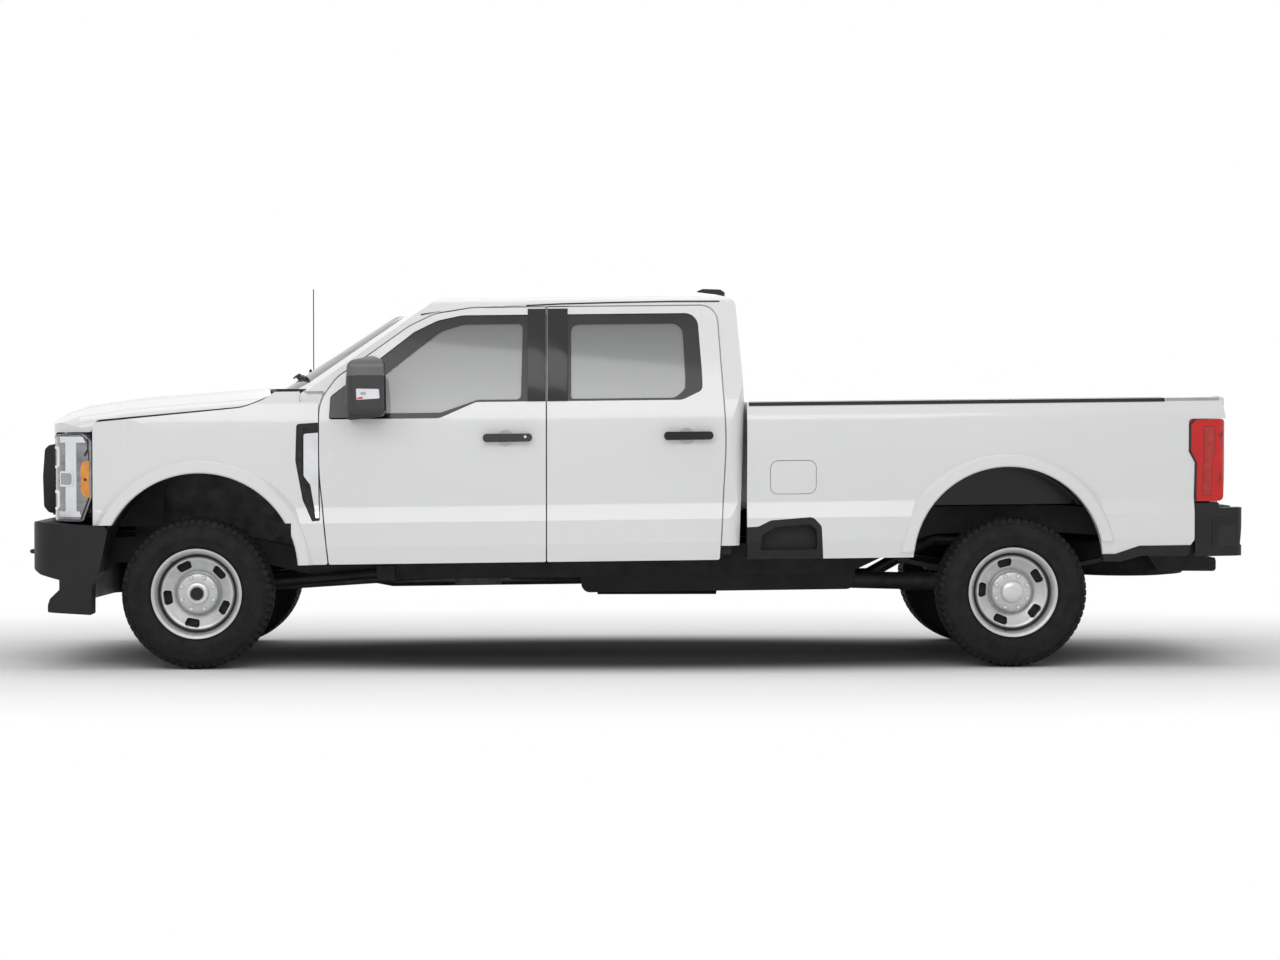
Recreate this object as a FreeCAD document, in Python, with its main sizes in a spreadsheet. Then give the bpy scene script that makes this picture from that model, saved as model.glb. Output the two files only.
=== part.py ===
import FreeCAD, Part
import math
import os
from FreeCAD import Placement, Rotation, Vector

# Full-size crew cab pickup truck with a long load bed, four-wheel drive and single rear wheels.
# Frame: +X forward, +Y to the truck's left, +Z up. The origin is on the ground, at mid length.
# A "back" value is the distance behind the front axle, and the body rises with it by the rake.

SIZES = {
    # overall
    "wheelbase": 4468,
    "front_overhang": 998,
    "rear_overhang": 1290,
    "front_track": 1735,
    "rear_track": 1707,
    "rake": 0.011,
    "overrun": 60,
    "panel_gap": 7,
    "seat_gap": 0.3,
    "running_gap": 0.1,
    # wheels
    "tyre_radius": 412,
    "tyre_width": 275,
    "tyre_wall": 12,
    "tread_edge": 38,
    "bead_radius": 229,
    "bead_width": 205,
    "flange_radius": 246,
    "flange_width": 8,
    "rim_width": 232,
    "rim_wall": 9,
    "well_radius": 196,
    "disc_offset": 62,
    "disc_radius": 200,
    "disc_wall": 12,
    "dish_depth": 34,
    "hub_face_radius": 116,
    "hub_face_depth": 30,
    "stud_circle": 170,
    "stud_radius": 14,
    "stud_length": 22,
    "hub_cap_radius": 58,
    "hub_cap_length": 74,
    "hand_hole_circle": 162,
    "hand_hole_radius": 24,
    "hub_bore": 34,
    "hub_radius": 78,
    # side of the body, with heights taken at the front axle
    "panel_half_width": 1002,
    "sill_height": 563,
    "sill_tuck": 20,
    "skirt_height": 660,
    "skirt_tuck": 3,
    "ledge_height": 788,
    "ledge_tuck": 2,
    "ledge_round": 16,
    "crease_height": 878,
    "crease_tuck": 26,
    "crease_round": 40,
    "bulge_height": 1185,
    "bulge_round": 1500,
    "shoulder_height": 1340,
    "shoulder_tuck": 6,
    "shoulder_round": 420,
    "belt_height": 1440,
    "belt_tuck": 30,
    "belt_round": 50,
    "glass_lean": 0.295,
    "rail_height": 1966,
    "roof_edge": 782,
    "roof_edge_height": 2016,
    "roof_edge_round": 70,
    "roof_height": 2062,
    "roof_fall": 6,
    "roof_round": 2200,
    # wheel arches
    "front_arch_back": 18,
    "front_arch_height": 534,
    "front_arch_radius": 536,
    "rear_wheel_back": 4468,
    "rear_arch_back": 4437,
    "rear_arch_height": 581,
    "rear_arch_radius": 522,
    "flare_half_width": 1016,
    "flare_band": 96,
    "flare_lip": 14,
    "arch_wall": 8,
    "liner_inner": 560,
    # fenders
    "fender_front": -560,
    "fender_low_front": 792,
    "fender_wall": 34.7,
    "fender_inner": 905,
    "fender_top": 1508,
    "fender_top_front": 1352,
    "fender_top_mid": 1423,
    "fender_top_mid_back": 250,
    "fender_taper": 24,
    "fender_taper_back": -120,
    "vent_depth": 14,
    "vent_slots": 7,
    # nose
    "nose_front": -837,
    "nose_round": 190,
    "nose_bow": 46,
    "lamp_front": -800,
    "lamp_low": 816,
    "lamp_high": 1290,
    "lamp_width": 300,
    "lamp_depth": 120,
    "grille_front": -884,
    "grille_low": 838,
    "grille_high": 1232,
    "grille_half_width": 640,
    "grille_depth": 133,
    "grille_rim": 30,
    "grille_bar": 34,
    "grille_mesh": 10,
    # hood
    "hood_half_width": 930,
    "hood_back": 424,
    "hood_wall": 30,
    "hood_low": 1300,
    "hood_nose_low": 1262,
    "hood_crown": 16,
    "hood_side_round": 80,
    "hood_bulge_half_width": 560,
    "hood_bow": 104,
    "cowl_front": 290,
    # cab
    "cab_front": 560,
    "cab_back": 2990,
    "cab_back_top": 2938,
    "cab_back_low": 2958,
    "cab_corner": 110,
    "cab_floor": 640,
    "floor_wall": 60,
    "rocker_low": 578,
    "rocker_inner": 800,
    "rocker_round": 20,
    "rocker_end": 40,
    "cab_wall": 76,
    "roof_wall": 42,
    "screen_back": 416,
    "screen_low": 1540,
    "screen_run": 629,
    "screen_rise": 410,
    "screen_bow": 172,
    "screen_bow_half_width": 830,
    "screen_half_low": 800,
    "screen_half_high": 690,
    "screen_top": 1936,
    "screen_wall": 14,
    "pillar_depth": 60,
    "rear_window_half_width": 640,
    "rear_window_low": 1490,
    "rear_window_high": 1880,
    # doors
    "front_door_front": 670,
    "door_split": 1905,
    "rear_door_back": 2885,
    "skin_depth": 28,
    "door_depth": 112,
    "frame_depth": 56,
    "door_step": 26,
    "door_hole_gap": 12,
    "door_inner_low": 712,
    "hinge_back": 60,
    "hinge_tuck": 16,
    "swing_radius": 80,
    "swing_room": 42,
    "bowl_radius": 128,
    "bowl_depth": 12,
    "glass_tuck": 14,
    "glass_wall": 5,
    "handle_length": 267,
    "handle_thickness": 46,
    "handle_stand": 42,
    "handle_level": 1244,
    "mirror_low": 1352,
    "mirror_high": 1696,
    "mirror_front": 822,
    "mirror_back": 1034,
    "mirror_inner": 1034,
    "mirror_outer": 1250,
    "front_handle_back": 1560,
    "rear_handle_back": 2547,
    # load bed
    "bed_front": 3002,
    "bed_floor": 872,
    "bed_floor_wall": 36,
    "bed_inner": 838,
    "bed_wall": 26,
    "bed_top": 1424,
    "bedside_low": 563,
    "bedside_wall": 34,
    "rail_inner": 800,
    "wheelhouse_half": 640,
    "bedside_back": 5636,
    "tail_lamp_front": 5427,
    "tail_lamp_low": 850,
    "tail_lamp_high": 1306,
    "tail_lamp_width": 90,
    "gate_front": 5592,
    "gate_wall": 60,
    "gate_low": 862,
    "gate_half_width": 792,
    "gate_pivot_back": 5608,
    "gate_pivot_height": 886,
    "gate_side_gap": 14,
    "gate_pin_radius": 9,
    "gate_post_wall": 8,
    "gate_post_rise": 110,
    "gate_post_reach": 24,
    "seal_edge": 3,
    "seal_width": 10,
    "hook_side": 450,
    "hook_height": 620,
    "hook_ring": 34,
    "hook_wire": 12,
    "stop_radius": 6,
    "fuel_door_front": 3131,
    "fuel_door_length": 248,
    "fuel_door_low": 920,
    "fuel_door_height": 180,
    "fuel_door_round": 42,
    "fuel_door_wall": 8,
    "fuel_door_gap": 3,
    "fuel_pocket_depth": 24,
    # frame
    "frame_half_width": 437,
    "frame_rail_width": 76,
    "frame_rail_height": 178,
    "frame_rail_wall": 9,
    "frame_low": 446,
    "frame_front_low": 560,
    "frame_rear_low": 640,
    "frame_arch_low": 668,
    "roof_lamp_half": 170,
    "antenna_back": 476,
    "antenna_side": 925,
    "antenna_top": 2148,
    "pipe_radius": 36,
    "spare_back": 5230,
    "spare_height": 583,
    "spare_radius": 400,
    "steering_back": 1130,
    "steering_side": 400,
    "steering_height": 1486,
    "column_angle": 22,
    "steering_radius": 182,
    "steering_rim_radius": 14,
    "steering_hub_radius": 60,
    "steering_hub_depth": 40,
    "column_length": 240,
    "yoke_side": 668,
    "yoke_wall": 24,
    "yoke_height": 110,
    "yoke_radius": 36,
    "kingpin_side": 740,
    "kingpin_radius": 18,
    "axle_tube_radius": 44,
    "case_radius": 150,
    "case_half": 95,
    "case_side": 200,
    "snout_radius": 60,
    "snout_length": 260,
    "flange_plate_radius": 60,
    "hub_inner": 52,
    "spindle_reach": 56,
    "steer_arm": 165,
    "steer_drop": 60,
    "link_radius": 16,
    "eye_radius": 24,
    "eye_height": 36,
    "eye_gap": 2,
    "ball_radius": 10,
    "brake_disc_radius": 158,
    "brake_disc_width": 30,
    "brake_offset": 50,
    "caliper_radius": 180,
    "caliper_half": 90,
    "pitman_front": 270,
    "pitman_side": 490,
    "pitman_shaft": 236,
    "drag_link_inset": 90,
    "spring_side": 520,
    "spring_radius": 62,
    "spring_wire": 9,
    "spring_top_rise": 126,
    "leaf_side": 470,
    "leaf_width": 76,
    "leaf_half": 720,
    "leaf_arch": 110,
    "leaf_wall": 12,
    "frame_front": -785.7,
    "frame_back": 5610,
    "hitch_low": 440,
    "hitch_bore": 63.5,
}

doc = FreeCAD.newDocument("crew_cab_pickup")
sheet = doc.addObject("Spreadsheet::Sheet", "sizes")
for row, (name, value) in enumerate(SIZES.items(), start=1):
    sheet.set(f"A{row}", name)
    sheet.set(f"B{row}", str(value))
    sheet.setAlias(f"B{row}", name)
doc.recompute()


class Sizes:
    def __getattr__(self, name):
        return float(sheet.get(name))


S = Sizes()

FORWARD = Vector(1, 0, 0)
LEFT = Vector(0, 1, 0)
UP = Vector(0, 0, 1)
ORIGIN = Vector(0, 0, 0)

FRONT_AXLE = (S.front_overhang + S.wheelbase + S.rear_overhang) / 2 - S.front_overhang
REACH = S.panel_half_width + S.overrun
TOUCH = 1e-6


# Places and outlines

def at(back):
    return FRONT_AXLE - back


def lift(height, back):
    return height + S.rake * back


def rounded_wire(corners, place):
    # Corners are (u, v, radius): straight runs joined by tangent arcs, where the radius isn't zero.
    spots = [Vector(u, v, 0) for u, v, radius in corners]
    bends = []
    for index, (u, v, radius) in enumerate(corners):
        here = spots[index]
        to_last = spots[index - 1] - here
        to_next = spots[(index + 1) % len(spots)] - here
        if radius <= 0:
            bends.append((here, None, here))
            continue
        half = to_last.getAngle(to_next) / 2
        to_last.normalize()
        to_next.normalize()
        inward = to_last + to_next
        inward.normalize()
        reach = radius / math.tan(half)
        crown = here + inward * (radius / math.sin(half) - radius)
        bends.append((here + to_last * reach, crown, here + to_next * reach))
    edges = []
    for index, (first, crown, last) in enumerate(bends):
        if crown is not None:
            arc = Part.Arc(place(first), place(crown), place(last))
            edges.append(arc.toShape())
        following = bends[(index + 1) % len(bends)][0]
        if not following.isEqual(last, TOUCH):
            edges.append(Part.LineSegment(place(last), place(following)).toShape())
    return Part.Wire(edges)


def side_wire(corners, side=0):
    # A side view's outline: corners are (back, height at the front axle, radius).
    return rounded_wire(corners, lambda spot: Vector(at(spot.x), side, lift(spot.y, spot.x)))


def side_prism(corners, low, high):
    return Part.Face(side_wire(corners, low)).extrude(LEFT * (high - low))


def across(corners):
    # A side view's outline carried right across the truck.
    return side_prism(corners, -REACH - S.overrun, REACH + S.overrun)


def section_prism(corners, front, back):
    # A cross-section carried back along the raked body: corners are (side, height, radius).
    wire = rounded_wire(corners, lambda spot: Vector(at(front), spot.x, lift(spot.y, front)))
    return Part.Face(wire).extrude(Vector(front - back, 0, S.rake * (back - front)))


def plan_prism(corners, low, high):
    wire = rounded_wire(corners, lambda spot: Vector(at(spot.x), spot.y, low))
    return Part.Face(wire).extrude(UP * (high - low))


def block(front, back, low_side, high_side, low, high):
    size = Vector(back - front, high_side - low_side, high - low)
    return Part.makeBox(size.x, size.y, size.z, Vector(at(back), low_side, low))


def cross_cylinder(radius, back, height, low_side, high_side):
    return Part.makeCylinder(radius, high_side - low_side, Vector(at(back), low_side, height), LEFT)


def rod(radius, start, end):
    return Part.makeCylinder(radius, (end - start).Length, start, end - start)


def mirrored(shape):
    return shape.mirror(ORIGIN, LEFT)


def both(shape):
    return Part.makeCompound([shape, mirrored(shape)])


def fused(shapes):
    whole = shapes[0]
    for shape in shapes[1:]:
        whole = whole.fuse(shape)
    return whole.removeSplitter()


def add(label, shape):
    feature = doc.addObject("Part::Feature", label)
    feature.Label = label
    feature.Shape = shape
    feature.Placement = Placement()
    return feature


# The body's own section

def lower_side(inset):
    # The door, fender and bed side's outer face, from the sill up to the belt.
    face = S.panel_half_width - inset
    return [
        (face - S.sill_tuck, S.sill_height, 0),
        (face - S.skirt_tuck, S.skirt_height, S.ledge_round),
        (face - S.ledge_tuck, S.ledge_height, S.ledge_round),
        (face - S.crease_tuck, S.crease_height, S.crease_round),
        (face, S.bulge_height, S.bulge_round),
        (face - S.shoulder_tuck, S.shoulder_height, S.shoulder_round),
        (face - S.belt_tuck, S.belt_height, S.belt_round),
    ]


def glass_line(height, inset):
    belt = S.panel_half_width - S.belt_tuck - inset
    return belt - S.glass_lean * (height - S.belt_height)


def upper_side(inset):
    return [(glass_line(S.rail_height, inset), S.rail_height, 0)]


def symmetric(left):
    right = [(-side, height, radius) for side, height, radius in reversed(left)]
    return left + right


def cab_section(inset, roof_inset):
    return symmetric(lower_side(inset) + [
        (S.roof_edge - inset / 2, S.roof_edge_height - roof_inset, S.roof_edge_round),
        (S.roof_edge / 2, S.roof_height - S.roof_fall - roof_inset, S.roof_round),
    ])


def side_band(outer_inset, inner_inset, frame_inset):
    # A wall between two faces of the body side, which thins to the frame above the belt.
    outside = lower_side(outer_inset) + upper_side(outer_inset)
    inside = lower_side(inner_inset)[:-1]
    inside[0] = (inside[0][0], S.sill_height, 0)
    ledge = [
        (glass_line(S.rail_height, frame_inset), S.rail_height, 0),
        (glass_line(S.belt_height, frame_inset), S.belt_height, 0),
    ]
    if inner_inset > frame_inset:
        ledge.append((glass_line(S.belt_height, inner_inset), S.belt_height, 0))
    return outside + ledge + list(reversed(inside))


# Side views of the panels

def front_door_outline():
    front = S.front_door_front
    back = S.door_split - S.panel_gap / 2
    return [
        (front + 50, S.sill_height, 12),
        (front, 1060, 1800),
        (front, 1450, 240),
        (front + 92, 1580, 160),
        (front + 482, 1858, 0),
        (front + 620, 1925, 240),
        (front + 830, S.rail_height - 8, 400),
        (back, S.rail_height - 8, 10),
        (back, S.sill_height, 8),
    ]


def rear_door_outline():
    front = S.door_split + S.panel_gap / 2
    back = S.rear_door_back
    return [
        (front, S.sill_height, 8),
        (front, S.rail_height - 8, 10),
        (back - 46, S.rail_height - 8, 92),
        (back, 1230, 2200),
        (back - 33, S.sill_height, 12),
    ]


def front_window_outline():
    front = S.front_door_front + 52
    back = S.door_split - 62
    return [
        (front, 1354, 12),
        (front + 6, 1478, 30),
        (front + 458, 1828, 0),
        (front + 585, 1890, 160),
        (front + 720, S.rail_height - 48, 240),
        (back, S.rail_height - 48, 12),
        (back, S.belt_height, 12),
        (front + 800, S.belt_height, 60),
        (front + 600, 1354, 90),
    ]


def rear_window_outline():
    front = S.door_split + 62
    back = S.rear_door_back - 126
    return [
        (front, S.belt_height, 12),
        (front, S.rail_height - 48, 12),
        (back - 24, S.rail_height - 48, 76),
        (back, S.belt_height + 130, 900),
        (back, S.belt_height + 52, 36),
        (back - 110, S.belt_height, 90),
    ]


def grown(corners, distance):
    # The same outline with every edge moved outwards by the distance, or inwards if negative.
    spots = [Vector(u, v, 0) for u, v, radius in corners]
    area = sum(a.x * b.y - b.x * a.y for a, b in zip(spots, spots[1:] + spots[:1]))
    turn = 1 if area > 0 else -1
    moved = []
    for index, (u, v, radius) in enumerate(corners):
        here = spots[index]
        arriving = here - spots[index - 1]
        leaving = spots[(index + 1) % len(spots)] - here
        arriving.normalize()
        leaving.normalize()
        normal_in = Vector(arriving.y, -arriving.x, 0) * turn
        normal_out = Vector(leaving.y, -leaving.x, 0) * turn
        shift = (normal_in + normal_out) * (distance / (1 + normal_in.dot(normal_out)))
        convex = (arriving.x * leaving.y - arriving.y * leaving.x) * turn > 0
        new_radius = radius + distance if convex else radius - distance
        moved.append((u + shift.x, v + shift.y, max(new_radius, 0) if radius else 0))
    return moved


def through(wire):
    low = wire.copy()
    low.translate(LEFT * -S.overrun)
    return Part.Face(low).extrude(LEFT * (REACH + 2 * S.overrun))


def skin_cutter(inset):
    # Everything outboard of the body side's face set inboard by the inset.
    left = lower_side(inset)
    left[0] = (left[0][0], S.sill_height - 2 * S.overrun, 0)
    top = S.rail_height + S.overrun
    corners = left + [(glass_line(top, inset), top, 0), (REACH + S.overrun, top, 0)]
    corners += [(REACH + S.overrun, S.sill_height - 2 * S.overrun, 0)]
    return section_prism(corners, S.nose_front, S.bedside_back + S.overrun)


def below(height):
    # Everything under a level of the raked body.
    corners = [(-REACH, 0, 0), (-REACH, height, 0), (REACH, height, 0), (REACH, 0, 0)]
    return section_prism(corners, S.screen_back - S.overrun, S.cab_back + S.overrun)


# Doors

def hinge(front, height):
    return Vector(at(front + S.hinge_back), S.panel_half_width - S.hinge_tuck, height)


def door_panel(outline, window):
    front = S.front_door_front - S.overrun
    back = S.rear_door_back + S.overrun
    full = through(side_wire(outline))
    skin = section_prism(side_band(0, S.skin_depth, S.skin_depth), front, back).common(full)
    inner_wire = side_wire(grown(outline, -S.door_step))
    inner = section_prism(side_band(S.skin_depth, S.door_depth, S.frame_depth), front, back)
    inner = inner.common(through(inner_wire))
    inner = inner.cut(below(S.door_inner_low))
    panel = skin.fuse(inner).cut(through(side_wire(window)))
    return panel.removeSplitter()


def door_glass(window):
    front = S.front_door_front - S.overrun
    back = S.rear_door_back + S.overrun
    near = S.glass_tuck
    far = near + S.glass_wall
    low = 1300
    corners = [
        (glass_line(low, near), low, 0),
        (glass_line(S.rail_height, near), S.rail_height, 0),
        (glass_line(S.rail_height, far), S.rail_height, 0),
        (glass_line(low, far), low, 0),
    ]
    sheet_solid = section_prism(corners, front, back)
    return sheet_solid.common(through(side_wire(window)))


def handle_bowl(back):
    # The dish in the door's skin behind its handle.
    centre = Vector(at(back + S.handle_length * 0.46), S.panel_half_width + S.bowl_radius - S.bowl_depth,
                    lift(S.handle_level, back))
    return Part.makeSphere(S.bowl_radius, centre)


def door_seal(outline, front):
    # The rubber strip on the cab that the closed door rests on, left open where its front edge swings in.
    ring = through(side_wire(grown(outline, -S.seal_edge)))
    ring = ring.cut(through(side_wire(grown(outline, -S.seal_edge - S.seal_width))))
    band = skin_cutter(S.skin_depth + S.panel_gap - S.seat_gap).cut(skin_cutter(S.skin_depth + S.seat_gap))
    swing = block(0, front + 2 * S.hinge_back + S.hinge_tuck, 0, REACH, 0, S.roof_height)
    return band.common(ring).cut(below(S.door_inner_low)).cut(swing)


# Cab

def screen_band(near, far, margin):
    # The windscreen's bowed sheet, between two distances behind its outer face.
    bow = S.screen_bow * ((S.screen_bow_half_width + margin) / S.screen_bow_half_width) ** 2
    half = S.screen_bow_half_width + margin
    slope = Vector(-S.screen_run, 0, S.screen_rise)
    slope.normalize()
    start = lift(S.screen_low, S.screen_back)
    drop = slope * (S.screen_run / 2)

    def arc(offset):
        back = S.screen_back + offset
        ends = [Vector(at(back + bow), side, start) for side in (half, -half)]
        return Part.Arc(ends[0], Vector(at(back), 0, start), ends[1]).toShape(), ends

    near_edge, near_ends = arc(near)
    far_edge, far_ends = arc(far)
    rungs = [Part.LineSegment(a, b).toShape() for a, b in zip(near_ends, far_ends)]
    face = Part.Face(Part.Wire([near_edge, rungs[1], far_edge, rungs[0]]))
    face.translate(drop * -1)
    return face.extrude(slope * (S.screen_run * 2.2))


def screen_outline(margin):
    low = S.screen_low - S.overrun / 6
    corners = [
        (S.screen_half_low + margin, low - margin, 40),
        (S.screen_half_high + margin, S.screen_top + margin, 76),
        (-S.screen_half_high - margin, S.screen_top + margin, 76),
        (-S.screen_half_low - margin, low - margin, 40),
    ]
    wire = rounded_wire(corners, lambda spot: Vector(at(0), spot.x, spot.y))
    return Part.Face(wire).extrude(FORWARD * -S.cab_back / 2)


def cab_outline(inset, roof_inset):
    front = S.cab_front + inset
    back_low = S.cab_back_low - inset
    roof = S.roof_height - roof_inset
    return [
        (front, S.sill_height, 0),
        (front, S.fender_top + 2, 0),
        (S.screen_back - S.overrun, S.fender_top + 2, 0),
        (S.screen_back + S.screen_run - 20, S.screen_low + S.screen_rise + 12 - roof_inset, 90),
        (S.screen_back + S.screen_run + 330, roof - 14, 700),
        (S.screen_back + S.screen_run + 980, roof, 1500),
        (S.cab_back_top - 260, roof, 900),
        (S.cab_back_top + 8 - inset, roof - 66, 60),
        (S.cab_back - inset, 1430, 300),
        (back_low, S.sill_height, 20),
    ]


def cab_plan(inset):
    half = REACH - inset
    back = S.cab_back - inset
    side = S.panel_half_width - inset
    return [
        (S.screen_back - S.overrun, half, 0),
        (back - S.cab_corner * 1.5, half, 0),
        (back - S.cab_corner * 1.2, side, 0),
        (back, side, S.cab_corner),
        (back, -side, S.cab_corner),
        (back - S.cab_corner * 1.2, -side, 0),
        (back - S.cab_corner * 1.5, -half, 0),
        (S.screen_back - S.overrun, -half, 0),
    ]


def cab_body(inset, roof_inset, floor):
    front = S.screen_back - S.overrun
    back = S.cab_back + S.overrun
    bulk = section_prism(cab_section(inset, roof_inset), front, back)
    bulk = bulk.common(across(cab_outline(inset, roof_inset)))
    bulk = bulk.common(plan_prism(cab_plan(inset), 0, S.roof_height * 1.2))
    return bulk.cut(below(floor))


def cab_solid():
    ahead = screen_band(-S.screen_run * 1.2, 0, 2 * S.overrun)
    return cab_body(0, 0, S.cab_floor).cut(ahead)


def rear_window():
    return section_prism([
        (S.rear_window_half_width, S.rear_window_low, 50),
        (S.rear_window_half_width - 60, S.rear_window_high, 60),
        (-S.rear_window_half_width + 60, S.rear_window_high, 60),
        (-S.rear_window_half_width, S.rear_window_low, 50),
    ], S.cab_back - 2 * S.cab_wall, S.cab_back + S.overrun)


def cab_glass():
    screen = screen_band(0, S.screen_wall, 0).common(screen_outline(0))
    pane = cab_body(0, 0, S.cab_floor).cut(cab_body(S.screen_wall, S.screen_wall, S.cab_floor))
    return Part.makeCompound([screen, pane.common(rear_window())])


def cab_shell(outer):
    inner = cab_body(S.cab_wall, S.roof_wall, S.cab_floor + S.floor_wall)
    inner = inner.cut(screen_band(-S.screen_run * 1.2, S.pillar_depth, 2 * S.overrun))
    shell = outer.cut(inner)
    rebate = S.skin_depth + S.panel_gap
    doors = [front_door_outline(), rear_door_outline()]
    span = [
        (S.cab_front - 10, S.sill_height - S.overrun, 0),
        (S.cab_front - 10, S.fender_top + 1, 0),
        (S.front_door_front + 20, S.fender_top + 1, 0),
        (S.front_door_front + 20, S.cab_floor + S.floor_wall, 0),
        (S.rear_door_back - 60, S.cab_floor + S.floor_wall, 0),
        (S.rear_door_back - 20 + S.panel_gap, S.sill_height - S.overrun, 0),
    ]
    outboard = skin_cutter(rebate)
    recess = [through(side_wire(grown(outline, S.panel_gap))) for outline in doors]
    recess.append(through(side_wire(span)))
    for opening in recess:
        cutter = opening.common(outboard)
        shell = shell.cut(cutter).cut(mirrored(cutter))
    for outline in doors:
        hole = through(side_wire(grown(outline, S.door_hole_gap - S.door_step)))
        hole = hole.cut(below(S.door_inner_low - S.door_hole_gap))
        shell = shell.cut(hole).cut(mirrored(hole))
    shell = shell.cut(screen_outline(0))
    shell = shell.cut(rear_window())
    for swing in (door_swing(S.front_door_front), door_swing(doors[1][0][0])):
        shell = shell.cut(swing).cut(mirrored(swing))
    # Above the belt the rear door's front edge turns in behind the post.
    edge = doors[1][0][0]
    slot = block(edge - S.panel_gap, edge + 2 * S.hinge_back, 0, REACH, lift(S.belt_height, edge), S.roof_height)
    slot = slot.common(skin_cutter(S.skin_depth + S.swing_room)).common(recess[1])
    shell = shell.cut(slot).cut(mirrored(slot))
    post = section_prism(side_band(S.cab_wall - 6, S.cab_wall + 54, S.cab_wall + 20), S.door_split - 23,
                         S.door_split + 23)
    post = post.cut(block(S.cab_front, S.cab_back, 0, REACH, 0, lift(S.cab_floor + S.floor_wall / 2, S.door_split)))
    return fused([shell, post, mirrored(post)])


def door_swing(front):
    # Room for the door's front edge to swing in behind the panel ahead of it.
    return Part.makeCylinder(S.swing_radius, S.fender_top, hinge(front, 0), UP)


def rocker():
    # The box section under the door sill.
    side = S.panel_half_width - S.skin_depth - S.panel_gap - S.sill_tuck
    high = S.cab_floor - S.seat_gap
    box = section_prism([
        (S.rocker_inner, S.rocker_low, 0), (S.rocker_inner, high, 0), (side, high, 0),
        (side, S.rocker_low, S.rocker_round),
    ], S.cab_front + S.rocker_end, S.cab_back_low - S.rocker_end)
    return box.cut(door_swing(S.front_door_front)).cut(door_swing(rear_door_outline()[0][0]))



# Front fenders and wheel liners

def arch_cylinder(back, height, radius):
    return cross_cylinder(radius, back, height, 0, REACH + S.overrun)


def flare(back, height, radius):
    # A raised lip round the wheel arch, turned about the arch's centre.
    lip = S.flare_half_width
    base = S.panel_half_width - S.fender_wall
    ring = [
        (radius, base),
        (radius, lip - S.flare_lip / 2),
        (radius + S.flare_lip / 2, lip),
        (radius + S.flare_band * 0.62, lip - S.flare_lip / 3),
        (radius + S.flare_band, base),
    ]
    points = [Vector(at(back) + r, y, height) for r, y in ring]
    face = Part.Face(Part.makePolygon(points + points[:1]))
    return face.revolve(Vector(at(back), 0, height), LEFT, 360)


def fender_band():
    outside = lower_side(0) + [(S.panel_half_width - 1.9 * S.belt_tuck, S.fender_top, 0)]
    wall = S.fender_wall
    inside = [
        (S.fender_inner, S.fender_top, 0),
        (S.fender_inner, S.shoulder_height - S.overrun, 0),
        (S.panel_half_width - wall, S.bulge_height - S.overrun, 0),
        (S.panel_half_width - S.crease_tuck - wall, S.crease_height, 0),
        (S.panel_half_width - S.sill_tuck - wall, S.sill_height, 0),
    ]
    return outside + inside


def fender_outline():
    door = S.front_door_front - S.panel_gap
    front = S.fender_front
    return [
        (front, S.fender_low_front, 0),
        (front, S.fender_top_front, 30),
        (S.fender_top_mid_back, S.fender_top_mid, 260),
        (S.hood_back - 70, S.fender_top - 46, 60),
        (S.hood_back + 4, S.fender_top, 0),
        (door, S.fender_top, 0),
        (door, 1060, 1800),
        (door + 50, S.sill_height, 12),
        (S.front_arch_back + 500, S.sill_height, 0),
        (S.front_arch_back + 500, S.fender_low_front, 0),
    ]


def front_fender():
    outline = fender_outline()
    span = (S.nose_front, S.cab_back)
    body = section_prism(fender_band(), *span).common(through(side_wire(outline)))
    taper = plan_prism([
        (S.fender_front - 1, 0, 0),
        (S.fender_front - 1, S.panel_half_width - S.fender_taper, 0),
        (S.fender_taper_back, S.panel_half_width + 1, 900),
        (S.cab_front * 2, S.panel_half_width + 1, 0),
        (S.cab_front * 2, 0, 0),
    ], 0, S.roof_height)
    body = body.common(taper)
    ring = flare(S.front_arch_back, S.front_arch_height, S.front_arch_radius)
    ring = ring.common(through(side_wire(outline)))
    body = body.fuse(ring)
    body = body.cut(arch_cylinder(S.front_arch_back, S.front_arch_height, S.front_arch_radius))
    vent = through(side_wire(vent_outline())).common(skin_cutter(S.vent_depth))
    cab_room = block(S.cab_front - S.seat_gap, S.cab_back, 0, S.panel_half_width - S.fender_wall, 0, S.roof_height)
    return body.cut(vent).cut(cab_room).removeSplitter()


def vent_outline():
    # The tall trim behind the front wheel: a flat cap with a tapering tail.
    back = S.front_door_front
    return [
        (back - 124, 1332, 18),
        (back - 2, 1338, 12),
        (back + 2, 804, 4),
        (back - 40, 800, 8),
        (back - 92, 915, 60),
        (back - 130, 1130, 120),
    ]


def wheel_liner(back, height, radius, inner, low, back_cut):
    outer = radius + S.arch_wall + S.flare_lip
    ring = cross_cylinder(outer, back, height, inner, S.panel_half_width - S.fender_wall)
    ring = ring.cut(cross_cylinder(outer - S.arch_wall, back, height, 0, REACH))
    keep = block(back - 2 * radius, back_cut, 0, REACH, low, height + 2 * radius)
    return ring.common(keep)


# Nose

def nose_plan(front, half, inset):
    # The bowed front seen from above, with the corners drawn round.
    return [
        (S.hood_back + 2 * S.overrun, half - inset, 0),
        (front + S.nose_bow + inset, half - inset, S.nose_round),
        (front + inset, (half - inset) / 3, 1400),
        (front + inset, -(half - inset) / 3, 1400),
        (front + S.nose_bow + inset, inset - half, S.nose_round),
        (S.hood_back + 2 * S.overrun, inset - half, 0),
    ]


def hood_top(inset):
    return [
        (S.nose_front + inset, 1352 - inset, 50),
        (-722, 1434 - inset, 130),
        (-345, 1485 - inset, 1500),
        (334, 1534 - inset, 900),
        (S.hood_back - inset, 1538 - inset, 6),
    ]


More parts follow.
